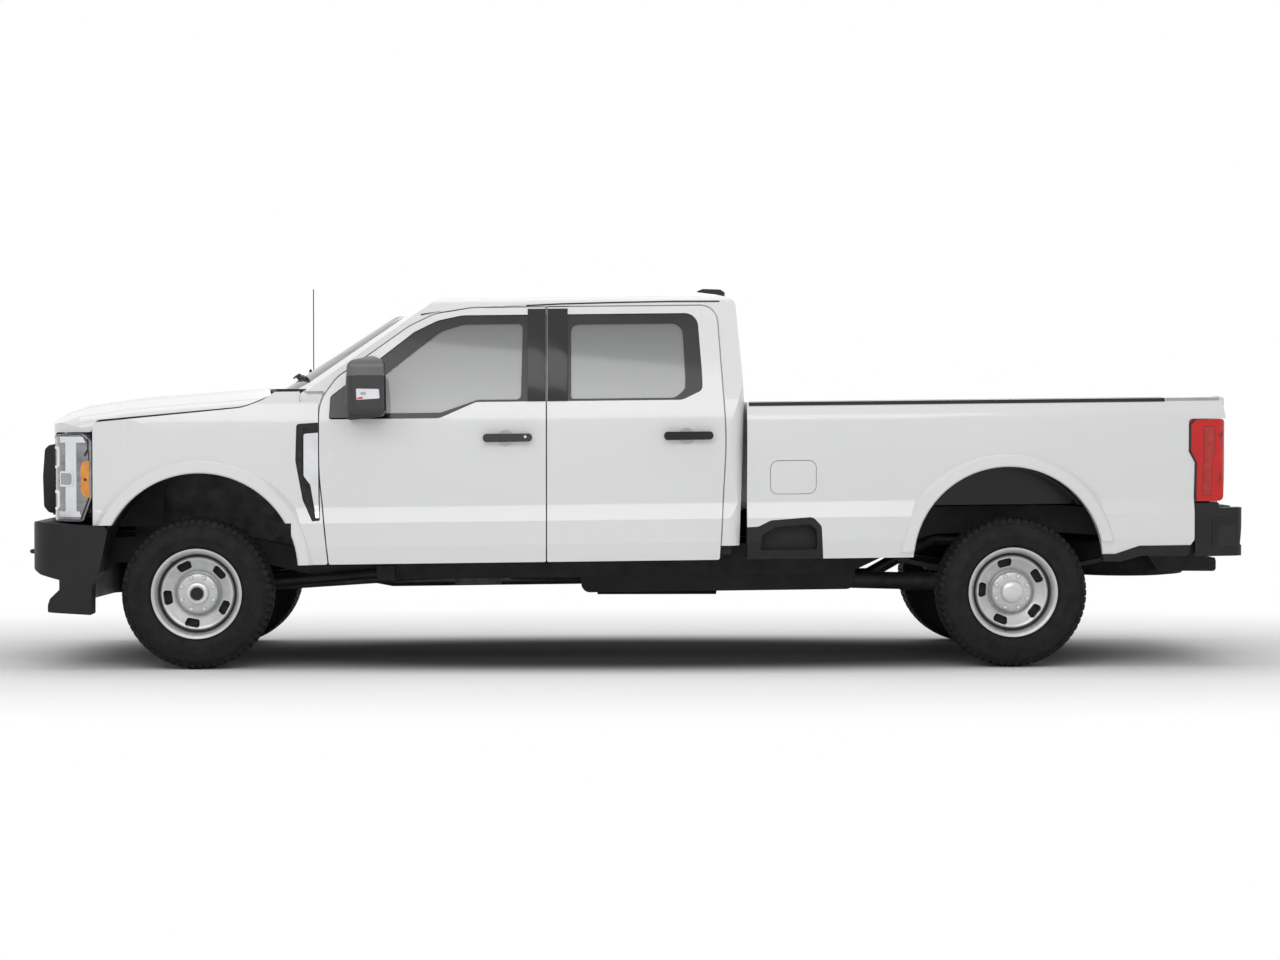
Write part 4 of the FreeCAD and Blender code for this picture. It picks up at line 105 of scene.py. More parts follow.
def between(tree, source, low, high, start=0.0, stop=1.0, kind="LINEAR"):
    # Runs from start to stop while the source runs from low to high.
    node = newNode(tree, "MapRange", {"Value": source, "From Min": low, "From Max": high, "To Min": start,
                                      "To Max": stop})
    node.interpolation_type = kind
    return node.outputs["Result"]


def blend(tree, share, first, second, kind="MIX"):
    node = newNode(tree, "MixRGB", {"Fac": share, "Color1": first, "Color2": second})
    node.blend_type = kind
    return node.outputs["Color"]


def objectPlace(tree):
    return tree.nodes.new("ShaderNodeTexCoord").outputs["Object"]


def objectSpace(tree, stretch=(1, 1, 1)):
    return newNode(tree, "Mapping", {"Vector": objectPlace(tree), "Scale": stretch}).outputs["Vector"]


def axesOf(tree, vector):
    return newNode(tree, "SeparateXYZ", {"Vector": vector}).outputs


def noise(tree, vector, scale, detail=5.0):
    return newNode(tree, "TexNoise", {"Vector": vector, "Scale": scale, "Detail": detail}).outputs["Fac"]


def ramp(tree, source, stops):
    node = newNode(tree, "ValToRGB", {"Fac": source})
    elements = node.color_ramp.elements
    while len(elements) < len(stops):
        elements.new(0.5)
    for element, (place, colour) in zip(elements, stops):
        element.position = place
        element.color = (*colour, 1)
    return node.outputs["Color"]


def bump(tree, height, strength, distance):
    return newNode(tree, "Bump", {"Height": height, "Strength": strength, "Distance": distance}).outputs["Normal"]


def surface(name, look):
    # One finish from a dictionary: a colour that drifts, a roughness that drifts and a fine relief.
    material, tree, shader = newMaterial(name)
    space = objectSpace(tree, look.get("stretch", (1, 1, 1)))
    low, high = look["roughness"]
    wire(tree, shader, {
        "Base Color": ramp(tree, noise(tree, space, look["drift"]), [(0.3, look["dark"]), (0.7, look["light"])]),
        "Roughness": ramp(tree, noise(tree, space, look["drift"] * 2.3), [(0.3, (low,) * 3), (0.7, (high,) * 3)]),
        "Metallic": look.get("metallic", 0), "Coat Weight": look.get("coat", 0),
        "Coat Roughness": look.get("coatRoughness", 0.03), "Specular IOR Level": look.get("specular", 0.5)})
    if "relief" in look:
        scale, strength, depth = look["relief"]
        wire(tree, shader, {"Normal": bump(tree, noise(tree, space, scale, 2.0), strength, depth)})
    return material


# relief: how fine the grain is, its strength and its depth
finishes = {
    "bodyPaint": {"dark": (0.80, 0.805, 0.81), "light": (0.84, 0.845, 0.85), "drift": 0.9,
                  "roughness": (0.22, 0.28), "coat": 0.8, "coatRoughness": 0.04, "relief": (900, 0.02, 0.0004)},
    "chassisPaint": {"dark": (0.007, 0.007, 0.0075), "light": (0.017, 0.017, 0.018), "drift": 6,
                     "roughness": (0.42, 0.62), "specular": 0.3, "relief": (300, 0.25, 0.001)},
    "castParts": {"dark": (0.05, 0.05, 0.052), "light": (0.12, 0.12, 0.125), "drift": 9,
                  "roughness": (0.5, 0.7), "metallic": 0.4, "relief": (240, 0.4, 0.002)},
    "exhaustSteel": {"dark": (0.10, 0.09, 0.085), "light": (0.22, 0.20, 0.18), "drift": 5,
                     "roughness": (0.35, 0.6), "metallic": 0.9},
    "blackPlastic": {"dark": (0.010, 0.010, 0.011), "light": (0.016, 0.016, 0.017), "drift": 3,
                     "roughness": (0.46, 0.58), "specular": 0.3, "relief": (700, 0.35, 0.0006)},
    "glossBlack": {"dark": (0.008, 0.008, 0.009), "light": (0.014, 0.014, 0.015), "drift": 2,
                   "roughness": (0.12, 0.2), "specular": 0.35, "coat": 0.2},
    "grillePlastic": {"dark": (0.045, 0.047, 0.050), "light": (0.075, 0.078, 0.082), "drift": 4,
                      "roughness": (0.3, 0.4), "coat": 0.2, "relief": (600, 0.15, 0.0005)},
    "cabinPlastic": {"dark": (0.030, 0.030, 0.032), "light": (0.055, 0.055, 0.058), "drift": 7,
                     "roughness": (0.5, 0.65), "relief": (420, 0.4, 0.0008)},
    "chromeTrim": {"dark": (0.62, 0.63, 0.64), "light": (0.78, 0.79, 0.80), "drift": 5,
                   "roughness": (0.08, 0.16), "metallic": 1.0},
    "satinTrim": {"dark": (0.30, 0.31, 0.32), "light": (0.42, 0.43, 0.44), "drift": 5,
                  "roughness": (0.25, 0.35), "metallic": 0.8},
    "linerPlastic": {"dark": (0.006, 0.006, 0.0065), "light": (0.012, 0.012, 0.0125), "drift": 5,
                     "roughness": (0.6, 0.75), "relief": (320, 0.4, 0.001)},
    "tyreRubber": {"dark": (0.007, 0.007, 0.0075), "light": (0.016, 0.016, 0.017), "drift": 12,
                   "roughness": (0.62, 0.8), "specular": 0.22, "relief": (260, 0.25, 0.0012)},
    "lampCase": {"dark": (0.14, 0.145, 0.155), "light": (0.30, 0.31, 0.33), "drift": 9, "stretch": (1, 1, 3),
                 "roughness": (0.08, 0.2), "metallic": 0.35, "coat": 1.0},
    "lampWhite": {"dark": (0.78, 0.80, 0.83), "light": (0.90, 0.91, 0.93), "drift": 8,
                  "roughness": (0.2, 0.35), "coat": 0.5},
    "lampAmber": {"dark": (0.70, 0.22, 0.015), "light": (0.86, 0.34, 0.03), "drift": 30,
                  "roughness": (0.15, 0.3), "coat": 0.6},
    "hubSilver": {"dark": (0.62, 0.625, 0.63), "light": (0.74, 0.745, 0.75), "drift": 16,
                  "roughness": (0.24, 0.36), "metallic": 0.55, "coat": 0.3},
    "lampDark": {"dark": (0.10, 0.105, 0.11), "light": (0.20, 0.21, 0.22), "drift": 20,
                 "roughness": (0.06, 0.14), "coat": 1.0},
    "redRib": {"dark": (0.62, 0.028, 0.020), "light": (0.78, 0.070, 0.050), "drift": 20,
               "roughness": (0.12, 0.2), "specular": 0.3, "coat": 0.3},
    "redDark": {"dark": (0.26, 0.004, 0.004), "light": (0.36, 0.008, 0.008), "drift": 20,
                "roughness": (0.12, 0.2), "specular": 0.3, "coat": 0.3},
}
made = {name: surface(name, look) for name, look in finishes.items()}

# Colours by the share of "reach" from the wheel's axis, with dark bands of painted shade at the face's grooves;
# "behind" is where the painted shadow behind the disc starts
wheelPaint = {
    "reach": 0.25,
    "rings": [(0.0, (0.62, 0.625, 0.63)), (0.44, (0.60, 0.605, 0.61)), (0.455, (0.22, 0.22, 0.225)),
              (0.475, (0.60, 0.605, 0.61)), (0.80, (0.60, 0.605, 0.61)), (0.815, (0.07, 0.07, 0.075)),
              (0.85, (0.12, 0.12, 0.125)), (0.875, (0.60, 0.605, 0.61))],
    "grime": [(0.35, (0.86, 0.86, 0.86)), (0.7, (1, 1, 1))],
    "roughness": [(0.3, (0.26,) * 3), (0.7, (0.4,) * 3)],
    "behind": (0.027, 0.024),
    "shadow": (0.012, 0.012, 0.013, 1),
}


def shadedWheelSteel(name, centre, sign):
    # Silver steel whose colour changes with the distance from the wheel's own axis, with painted shade in its grooves
    # and a painted shadow behind the disc.
    material, tree, shader = newMaterial(name)
    centred = measure(tree, "SUBTRACT", objectPlace(tree), centre)
    length = measure(tree, "LENGTH", measure(tree, "MULTIPLY", centred, (1, 0, 1)))
    shade = ramp(tree, compute(tree, "DIVIDE", length, wheelPaint["reach"]), wheelPaint["rings"])
    space = objectSpace(tree)
    steel = blend(tree, 1, shade, ramp(tree, noise(tree, space, 14), wheelPaint["grime"]), "MULTIPLY")
    # Painted shadow on the disc's back and the barrel behind it
    start, stop = wheelPaint["behind"]
    inside = between(tree, axesOf(tree, centred)["Y"], sign * start, sign * stop)
    wire(tree, shader, {"Base Color": blend(tree, inside, steel, wheelPaint["shadow"]),
                        "Roughness": ramp(tree, noise(tree, space, 30), wheelPaint["roughness"]),
                        "Metallic": 0.55, "Coat Weight": 0.3})
    return material


def heightBetween(tree, low, high):
    return between(tree, axesOf(tree, objectPlace(tree))["Z"], low, high)


def paintedReflectionGlass(name, low, high, dark, light, sockets):
    # Grey glass with a painted reflection: lighter towards its lower edge and darker towards its top edge.
    material, tree, shader = newMaterial(name)
    wave = noise(tree, objectSpace(tree), 1.5)
    shade = compute(tree, "MULTIPLY_ADD", wave, 0.08, heightBetween(tree, low, high))
    wire(tree, shader, {"Base Color": ramp(tree, shade, [(0.05, light), (1.0, dark)]), **sockets})
    return material


def seatCloth(name):
    material, tree, shader = newMaterial(name)
    weave = newNode(tree, "TexWave", {"Vector": objectSpace(tree), "Scale": 180, "Distortion": 1.5}).outputs["Fac"]
    wire(tree, shader, {"Base Color": ramp(tree, weave, [(0.2, (0.050, 0.050, 0.054)), (0.8, (0.095, 0.095, 0.10))]),
                        "Roughness": 0.9, "Sheen Weight": 0.25, "Normal": bump(tree, weave, 0.4, 0.0008)})
    return material


def splitAt(name, low, high, below, above, sockets, grain=None):
    # One colour below a height and another above it.
    material, tree, shader = newMaterial(name)
    drift = noise(tree, objectSpace(tree), 9)
    colours = [ramp(tree, drift, [(0.3, tuple(channel * 0.86 for channel in colour)), (0.7, colour)])
               for colour in (below, above)]
    wire(tree, shader, {"Base Color": blend(tree, heightBetween(tree, low, high), *colours), **sockets})
    if grain:
        wire(tree, shader, {"Normal": bump(tree, noise(tree, objectSpace(tree), grain, 2.0), 0.3, 0.0006)})
    return material


def paintWithShade(name, mask, colour, sockets):
    # Body paint with a painted shade colour where the mask is 1.
    material = surface(name, finishes["bodyPaint"])
    tree = material.node_tree
    shader = tree.nodes["Principled BSDF"]
    paint = shader.inputs["Base Color"].links[0].from_socket
    share = mask(tree, axesOf(tree, objectPlace(tree)))
    wire(tree, shader, {"Base Color": blend(tree, share, paint, (*colour, 1)), **sockets})
    return material


# Zones where painted shade darkens the body paint: the cab's post between the doors and the bed round its wheel boxes
pillarShadeZone = {"back": 1.905, "halfLength": 0.045, "height": 1.70, "halfHeight": 0.245}
wheelArch = {"back": 4.437, "height": 0.581, "radius": 0.5155, "side": 0.6465, "far": 0.8632, "under": 0.9005}


def pillarGapShadeMask(tree, axes):
    # Painted shade on the cab's post at the pillar between the side windows, seen through the gap between the doors.
    def near(socket, centre, half):
        return compute(tree, "LESS_THAN", compute(tree, "ABSOLUTE", compute(tree, "SUBTRACT", socket, centre)), half)

    along = near(axes["X"], truck["frontAxle"] - pillarShadeZone["back"], pillarShadeZone["halfLength"])
    return compute(tree, "MULTIPLY", along, near(axes["Z"], pillarShadeZone["height"], pillarShadeZone["halfHeight"]))


def bedShadeMask(tree, axes):
    # Painted shade under the wheel boxes, outside the bed's walls and beneath its floor.
    flat = newNode(tree, "CombineXYZ", {"X": axes["X"], "Z": axes["Z"]}).outputs["Vector"]
    reach = measure(tree, "DISTANCE", flat, (truck["frontAxle"] - wheelArch["back"], 0, wheelArch["height"]))
    across = compute(tree, "ABSOLUTE", axes["Y"])
    boxes = compute(tree, "MULTIPLY", compute(tree, "LESS_THAN", reach, wheelArch["radius"]),
                    compute(tree, "GREATER_THAN", across, wheelArch["side"]))
    under = compute(tree, "LESS_THAN", axes["Z"], wheelArch["under"])
    outside = compute(tree, "GREATER_THAN", across, wheelArch["far"])
    return compute(tree, "MAXIMUM", compute(tree, "MAXIMUM", boxes, under), outside)


made["windowGlass"] = paintedReflectionGlass("windowGlass", 1.42, 1.93, (0.20, 0.205, 0.21), (0.50, 0.505, 0.51),
                                  {"Roughness": 0.04, "Alpha": 0.86, "Coat Weight": 0.5})
made["screenGlass"] = paintedReflectionGlass("screenGlass", 1.50, 2.0, (0.045, 0.048, 0.052), (0.085, 0.09, 0.095),
                                  {"Roughness": 0.04, "Alpha": 0.95, "Coat Weight": 0, "Specular IOR Level": 0.08})
# The cab's paint with painted shade on its post between the doors
made["cabPaintWithShade"] = paintWithShade("cabPaintWithShade", pillarGapShadeMask, (0.014, 0.014, 0.015), {})
# The bed's paint with painted shade in the wheel arches and under the bed
made["bedPaintWithShade"] = paintWithShade("bedPaintWithShade", bedShadeMask, (0.008, 0.008, 0.0085),
                               {"Coat Weight": 0.1, "Specular IOR Level": 0.3})
made["redLens"] = splitAt("redLens", 1.60, 1.62, (0.70, 0.010, 0.008), (0.020, 0.012, 0.012),
                          {"Roughness": 0.14, "Coat Weight": 0.35, "Specular IOR Level": 0.25})
made["mirrorBody"] = splitAt("mirrorBody", 1.597, 1.599, (0.020, 0.020, 0.021), (0.135, 0.137, 0.140),
                             {"Roughness": 0.36, "Coat Weight": 0.2}, 700)
made["seatCloth"] = seatCloth("seatCloth")

nodeFinishes = {
    "cabPaintWithShade": ["cab"],
    "bodyPaint": ["fenders", "hood", "bedsides", "tailgate", "fuel_door", "door_front_left",
                  "door_front_right", "door_rear_left", "door_rear_right"],
    "bedPaintWithShade": ["bed"],
    "chassisPaint": ["frame", "front_axle", "rear_axle", "suspension", "knuckle_left", "knuckle_right",
                     "steering_linkage", "pitman_arm", "rockers", "rim_front_left", "rim_front_right",
                     "rim_rear_left", "rim_rear_right"],
    "castParts": ["engine_block", "driveline"],
    "exhaustSteel": ["exhaust"],
    "linerPlastic": ["wheel_liners"],
    "mirrorBody": ["trim_front_left", "trim_front_right"],
    "blackPlastic": ["mouldings", "door_seals", "front_bumper", "rear_bumper", "radiator_support",
                     "fuel_tank", "trim_rear_left", "trim_rear_right"],
    "grillePlastic": ["grille"],
    "cabinPlastic": ["dashboard", "steering_wheel"],
    "tyreRubber": ["spare_wheel"],
    "windowGlass": ["glass_front_left", "glass_front_right", "glass_rear_left", "glass_rear_right"],
    "screenGlass": ["cab_glass"],
    "redLens": ["tail_lamps"],
    "lampCase": ["headlamps"],
    "seatCloth": ["seats"],
}
for finish, names in nodeFinishes.items():
    for name in names:
        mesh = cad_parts[name].data
        mesh.materials.clear()
        mesh.materials.append(made[finish])
print("finishes set on the CAD nodes")


# Building helpers

def finishPiece(name, mesh, finish, body="chassis", smooth=True):
    # Turns a bmesh into an object that rides on a body.
    bmesh.ops.remove_doubles(mesh, verts=mesh.verts, dist=1e-6)
    bmesh.ops.recalc_face_normals(mesh, faces=mesh.faces)
    data = bpy.data.meshes.new(name)
    mesh.to_mesh(data)
    mesh.free()
    piece = bpy.data.objects.new(name, data)
    bpy.context.scene.collection.objects.link(piece)
    data.materials.append(made[finish])
    if smooth:
        shadeSmooth(data, 32)
    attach(piece, body)
    return piece


def shadeSmooth(data, sharpest):
    for face in data.polygons:
        face.use_smooth = True
    data.set_sharp_from_angle(angle=math.radians(sharpest))


def bevelAll(mesh, width):
    edges = [edge for edge in mesh.edges if len(edge.link_faces) == 2 and edge.calc_face_angle(0) > math.radians(30)]
    bmesh.ops.bevel(mesh, geom=edges, offset=width, segments=2, profile=0.5, affect="EDGES", material=-1)


def grow(mesh, faces, move):
    grown = bmesh.ops.extrude_face_region(mesh, geom=faces)
    ends = [item for item in grown["geom"] if isinstance(item, bmesh.types.BMVert)]
    bmesh.ops.translate(mesh, vec=move, verts=ends)
    bmesh.ops.recalc_face_normals(mesh, faces=mesh.faces)


def plate(outlines, move):
    # Flat closed outlines, each carried by one move.
    mesh = bmesh.new()
    grow(mesh, [mesh.faces.new([mesh.verts.new(point) for point in outline]) for outline in outlines], move)
    return mesh


def roundCorners(corners, steps=5):
    # (u, v, radius) corners to a plain outline with each corner drawn round.
    points = []
    count = len(corners)
    for index, (u, v, radius) in enumerate(corners):
        here = Vector((u, v))
        before = Vector(corners[index - 1][:2]) - here
        after = Vector(corners[(index + 1) % count][:2]) - here
        if radius <= 0:
            points.append((u, v))
            continue
        half = before.angle(after) / 2
        reach = radius / math.tan(half)
        before.normalize()
        after.normalize()
        middle = here + (before + after).normalized() * (radius / math.sin(half))
        start = here + before * reach
        end = here + after * reach
        for step in range(steps + 1):
            point = start.lerp(end, step / steps) - middle
            point = middle + point.normalized() * radius
            points.append((point.x, point.y))
    return points


def joined(meshes):
    whole = bmesh.new()
    for mesh in meshes:
        data = bpy.data.meshes.new("part")
        mesh.to_mesh(data)
        mesh.free()
        whole.from_mesh(data)
        bpy.data.meshes.remove(data)
    return whole


def turnedKnob(points, steps=48):
    # A solid of revolution about Y from (radius, width) points that start and end on the axis.
    mesh = bmesh.new()
    chain = [mesh.verts.new((r, w, 0)) for r, w in points]
    edges = [mesh.edges.new((a, b)) for a, b in zip(chain, chain[1:])]
    bmesh.ops.spin(mesh, geom=chain + edges, cent=(0, 0, 0), axis=(0, 1, 0), angle=2 * math.pi, steps=steps,
                   use_merge=True)
    bmesh.ops.remove_doubles(mesh, verts=mesh.verts, dist=1e-6)
    bmesh.ops.recalc_face_normals(mesh, faces=mesh.faces)
    return mesh


# Tyres

tyre = {
    "radius": 0.412,
    "floor": 0.403,
    "pitches": 62,
    "steps": 124,
    "frontTrack": 1.735,
    "rearTrack": 1.707,
    "wheelbase": 4.468,
    "wall": [(0.2293, 0.108), (0.247, 0.1085), (0.254, 0.114), (0.262, 0.1255), (0.285, 0.1325), (0.312, 0.1370),
             (0.318, 0.1375), (0.322, 0.1360), (0.345, 0.1345), (0.365, 0.1310), (0.384, 0.1245), (0.394, 0.1150),
             (0.399, 0.1020), (0.403, 0.080)],
    "inside": [(0.2293, -0.085), (0.30, -0.118), (0.385, -0.100), (0.385, 0.100), (0.30, 0.118), (0.2293, 0.085)],
    "treadRows": [(0.0, 0.0, 0.034, 0.80, 0.010), (0.041, 0.35, 0.032, 0.78, -0.012),
                  (-0.041, 0.65, 0.032, 0.78, -0.012)],
    "lugFoot": [(0.381, 0.1315), (0.372, 0.1335)],
    "ribRadius": 0.300,
    "ribHeight": 0.016,
}


def tyreMesh():
    # Carcass spun about Y, with separate tread blocks, shoulder lugs and a serrated band on each wall.
    mesh = bmesh.new()
    radius, floor = tyre["radius"], tyre["floor"]
    points = tyre["wall"] + [(r, -y) for r, y in reversed(tyre["wall"])] + tyre["inside"]
    loop = [mesh.verts.new((r, y, 0)) for r, y in points]
    edges = [mesh.edges.new((a, b)) for a, b in zip(loop, loop[1:] + loop[:1])]
    bmesh.ops.spin(mesh, geom=loop + edges, cent=(0, 0, 0), axis=(0, 1, 0), angle=2 * math.pi,
                   steps=tyre["steps"], use_merge=True)
    bmesh.ops.remove_doubles(mesh, verts=mesh.verts, dist=1e-5)

    def bent(turn, shape):
        # A block bent round the tyre: shape turns a cube's corner into radius, side and angle.
        for vert in bmesh.ops.create_cube(mesh, size=1)["verts"]:
            r, y, angle = shape(*vert.co)
            vert.co = Vector((r * math.sin(turn + angle), y, r * math.cos(turn + angle)))

    pitch = 2 * math.pi / tyre["pitches"]
    arc = pitch * radius

    def treadBlock(side, wide, long, skew):
        def shape(x, y, z):
            along = x * arc * long + skew * y
            if z > 0:
                return radius, side + y * wide * 0.94, along * 0.90 / radius
            return floor - 0.004, side + y * wide, along / radius
        return shape

    def shoulderLug(side, foot):
        def shape(x, y, z):
            outward = y * side > 0
            if z > 0:
                r, across = (radius - 0.009, 0.1165) if outward else (radius - 0.0012, 0.070)
            else:
                r, across = foot if outward else (0.392, 0.066)
            long = arc * (0.70 if z > 0 else 0.78)
            return r, across * side, pitch * (0.1 + 0.35 * side) + x * long / radius
        return shape

    def wallRib(side):
        def shape(x, y, z):
            r = tyre["ribRadius"] + z * tyre["ribHeight"]
            across = 0.1362 + (0.0008 if y * side > 0 else -0.004) - (0.308 - r) * 0.12
            return r, across * side, x * 0.0085
        return shape

    for index in range(tyre["pitches"]):
        for side, shift, wide, long, skew in tyre["treadRows"]:
            bent((index + shift) * pitch, treadBlock(side, wide, long, skew))
        for side in (1, -1):
            bent(index * pitch, shoulderLug(side, tyre["lugFoot"][index % 2]))
    for index in range(tyre["pitches"] * 3):
        for side in (1, -1):
            bent(index * pitch / 3, wallRib(side))
    return mesh


def wheelCentres():
    for end, back, track in (("front", 0.0, tyre["frontTrack"]), ("rear", tyre["wheelbase"], tyre["rearTrack"])):
        for side, sign in sides:
            yield end, side, sign, Vector((truck["frontAxle"] - back, sign * track / 2, truck["wheelHeight"]))


for end, side, sign, centre in wheelCentres():
    mesh = tyreMesh()
    bmesh.ops.translate(mesh, vec=centre, verts=mesh.verts)
    tread = finishPiece(f"treadTyre_{end}_{side}", mesh, "tyreRubber", f"wheel_{end}_{side}")
    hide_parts(f"tyre_{end}_{side}")
print("tyres made")


# Side glass surrounds and pillar covers

windows = {
    "front": {"body": "front_{}_door",
              "outer": [(0.722, 1.354, 0.012), (0.728, 1.478, 0.030), (1.180, 1.828, 0), (1.307, 1.890, 0.160),
                        (1.442, 1.918, 0.240), (1.843, 1.918, 0.012), (1.843, 1.440, 0.012), (1.522, 1.440, 0.060),
                        (1.322, 1.354, 0.090)],
              "inner": [(0.860, 1.384, 0.012), (0.868, 1.470, 0.030), (1.186, 1.722, 0), (1.330, 1.832, 0.160),
                        (1.452, 1.868, 0.200), (1.776, 1.868, 0.024), (1.766, 1.452, 0.024), (1.530, 1.452, 0.060),
                        (1.330, 1.384, 0.080)],
              "pillar": (1.802, 1.901)},
    "rear": {"body": "rear_{}_door",
             "outer": [(1.967, 1.440, 0.012), (1.967, 1.918, 0.012), (2.735, 1.918, 0.076), (2.759, 1.570, 0),
                       (2.759, 1.492, 0.036), (2.649, 1.440, 0.090)],
             "inner": [(2.040, 1.452, 0.016), (2.040, 1.862, 0.040), (2.652, 1.862, 0.060), (2.666, 1.560, 0),
                       (2.664, 1.500, 0.030), (2.612, 1.452, 0.070)],
             "pillar": (1.910, 2.022)},
}
surround = {"inset": 0.009, "thick": 0.0045, "pillarLift": 0.0035, "pillarThick": 0.006, "pillarLow": 1.440,
            "pillarHigh": 1.950}


def onGlass(corners, sign, inset):
    return [spot(back, sign * glassSide(height, inset), height) for back, height in corners]


def band(outer, inner, move):
    # A frame between two outlines with as many points.
    mesh = bmesh.new()
    loops = [[mesh.verts.new(point) for point in outline] for outline in (outer, inner)]
    count = len(outer)
    for index in range(count):
        after = (index + 1) % count
        mesh.faces.new((loops[0][index], loops[0][after], loops[1][after], loops[1][index]))
    grow(mesh, mesh.faces[:], move)
    return mesh


for end, window in windows.items():
    outer, inner = roundCorners(window["outer"], 4), roundCorners(window["inner"], 4)
    for side, sign in sides:
        mesh = band(onGlass(outer, sign, surround["inset"]), onGlass(inner, sign, surround["inset"]),
                    (0, -sign * surround["thick"], 0))
        finishPiece(f"windowBand_{end}_{side}", mesh, "glossBlack", window["body"].format(side), smooth=False)
for end, window in windows.items():
    near, far = window["pillar"]
    low, high = surround["pillarLow"], surround["pillarHigh"]
    for side, sign in sides:
        outline = onGlass([(near, low), (near, high), (far, high), (far, low)], sign, -surround["pillarLift"])
        mesh = plate([outline], (0, -sign * surround["pillarThick"], 0))
        bevelAll(mesh, 0.0012)
        finishPiece(f"pillarCover_{end}_{side}", mesh, "glossBlack", window["body"].format(side))
print("window surrounds made")


# Laying thin pieces on the CAD surface

def skinOf(node):
    mesh = bmesh.new()
    mesh.from_mesh(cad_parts[node].data)
    tree = BVHTree.FromBMesh(mesh)
    mesh.free()
    return tree


def layOn(tree, outline, towards, lift, depth, step=0.035, column=None):
    # A thin panel that follows the skin under an outline, seen from the "towards" side. With a column it
    # takes the skin's depth from there at each height, and so bridges slots.
    mesh = bmesh.new()
    mesh.faces.new([mesh.verts.new(point) for point in outline])
    blind = max(range(3), key=lambda axis: abs(towards[axis]))
    for axis in range(3):
        if axis == blind:
            continue
        low = min(vert.co[axis] for vert in mesh.verts)
        high = max(vert.co[axis] for vert in mesh.verts)
        normal = Vector((0, 0, 0))
        normal[axis] = 1
        count = int((high - low) / step)
        for index in range(1, count + 1):
            cut = normal * (low + (high - low) * index / (count + 1))
            bmesh.ops.bisect_plane(mesh, geom=mesh.verts[:] + mesh.edges[:] + mesh.faces[:], plane_co=cut,
                                   plane_no=normal)
    for vert in mesh.verts:
        place = vert.co.copy()
        place[blind] = 0
        start = place.copy()
        if column is not None:
            start.x = column
        found = tree.ray_cast(start + towards * 6, -towards)[0]
        if found is None:
            found = tree.find_nearest(start + towards)[0]
        vert.co = place + towards * (lift + (found - start).dot(towards))
    grow(mesh, mesh.faces[:], -towards * depth)
    return mesh


def layPiece(name, tree, towards, depth, parts, finish, slotName="black_plastic", body="chassis", **more):
    # One piece from (lift, outline) parts.
    meshes = [layOn(tree, outline, towards, lift, depth, **more) for lift, outline in parts]
    finishPiece(name, joined(meshes), finish, body, smooth=False)


def onSide(points):
    return [atSide(back, level) for back, level in points]


def roundOnSide(corners):
    return onSide(roundCorners(corners, 4))


def frameStrips(outer, inner):
    # Four-sided strips round an opening, from two outlines with as many points.
    count = len(outer)
    return [[outer[index], outer[(index + 1) % count], inner[(index + 1) % count], inner[index]]
            for index in range(count)]


# Wheels: (radius, width) profiles about each wheel's axis

wheel = {
    "holes": 5,
    "holeRing": 0.163,
    "hole": [(-0.03312, -0.0225, 0.012), (0.03312, -0.0225, 0.012), (0.046, 0.0225, 0.016), (-0.046, 0.0225, 0.016)],
    "holeStart": 0.004,
    "holeLong": 0.1,
    "nuts": 8,
    "nutRing": 0.092,
    "nut": [(0, 0.050), (0.0135, 0.050), (0.0125, 0.063), (0.009, 0.067), (0, 0.068)],
    "barrel": [(0.246, 0.116), (0.246, 0.108), (0.229, 0.108), (0.229, 0.058), (0.205, 0.0418), (0.205, -0.0487),
               (0.229, -0.0673), (0.229, -0.108), (0.246, -0.108), (0.246, -0.116), (0.223, -0.116),
               (0.220, -0.113), (0.220, -0.0696), (0.196, -0.051), (0.196, 0.036)],
    "disc": [(0.190, 0.026), (0.176, 0.014), (0.140, 0.016), (0.125, 0.020)],
    "hub": [(0.110, 0.016), (0.078, 0.016), (0.078, -0.020), (0.158, -0.020), (0.158, -0.050), (0.078, -0.050),
            (0.078, -0.052), (0.0341, -0.052), (0.0341, 0.057), (0.0, 0.057)],
    "face": [(0.0, 0.062), (0.045, 0.062), (0.052, 0.058), (0.060, 0.060), (0.100, 0.058), (0.108, 0.054),
             (0.112, 0.046), (0.113, 0.031), (0.118, 0.029), (0.126, 0.034), (0.140, 0.043), (0.158, 0.052),
             (0.176, 0.064), (0.186, 0.0705), (0.193, 0.072), (0.198, 0.069), (0.2015, 0.062), (0.205, 0.057),
             (0.209, 0.060), (0.213, 0.072), (0.217, 0.082), (0.221, 0.095), (0.226, 0.106), (0.232, 0.112),
             (0.240, 0.1165)],
    "front": {"turn": -8, "valve": 50,
              "cover": [(0, 0.050), (0.0605, 0.050), (0.0605, 0.082), (0.058, 0.090), (0.052, 0.0935),
                        (0.041, 0.0935), (0.038, 0.090), (0, 0.089)]},
    "rear": {"turn": 4, "valve": -80,
             "cover": [(0, 0.050), (0.063, 0.050), (0.061, 0.078), (0.056, 0.092), (0.045, 0.0985),
                       (0.025, 0.1005), (0, 0.101)]},
    "dial": [(0, 0.085), (0.036, 0.085), (0.036, 0.0925), (0.034, 0.0945), (0.026, 0.0945), (0.025, 0.0935),
             (0, 0.0935)],
    "grip": (0.046, 0.004, 0.011),
    "gripFace": 0.0955,
    "backing": [(0.100, 0.0062), (0.188, 0.0062), (0.188, 0.0085), (0.100, 0.0085), (0.100, 0.0062)],
    "valve": [(0, 0), (0.0045, 0), (0.0045, 0.022), (0.006, 0.024), (0.006, 0.034), (0, 0.035)],
    "valveRing": 0.209,
    "valveFoot": 0.060,
}


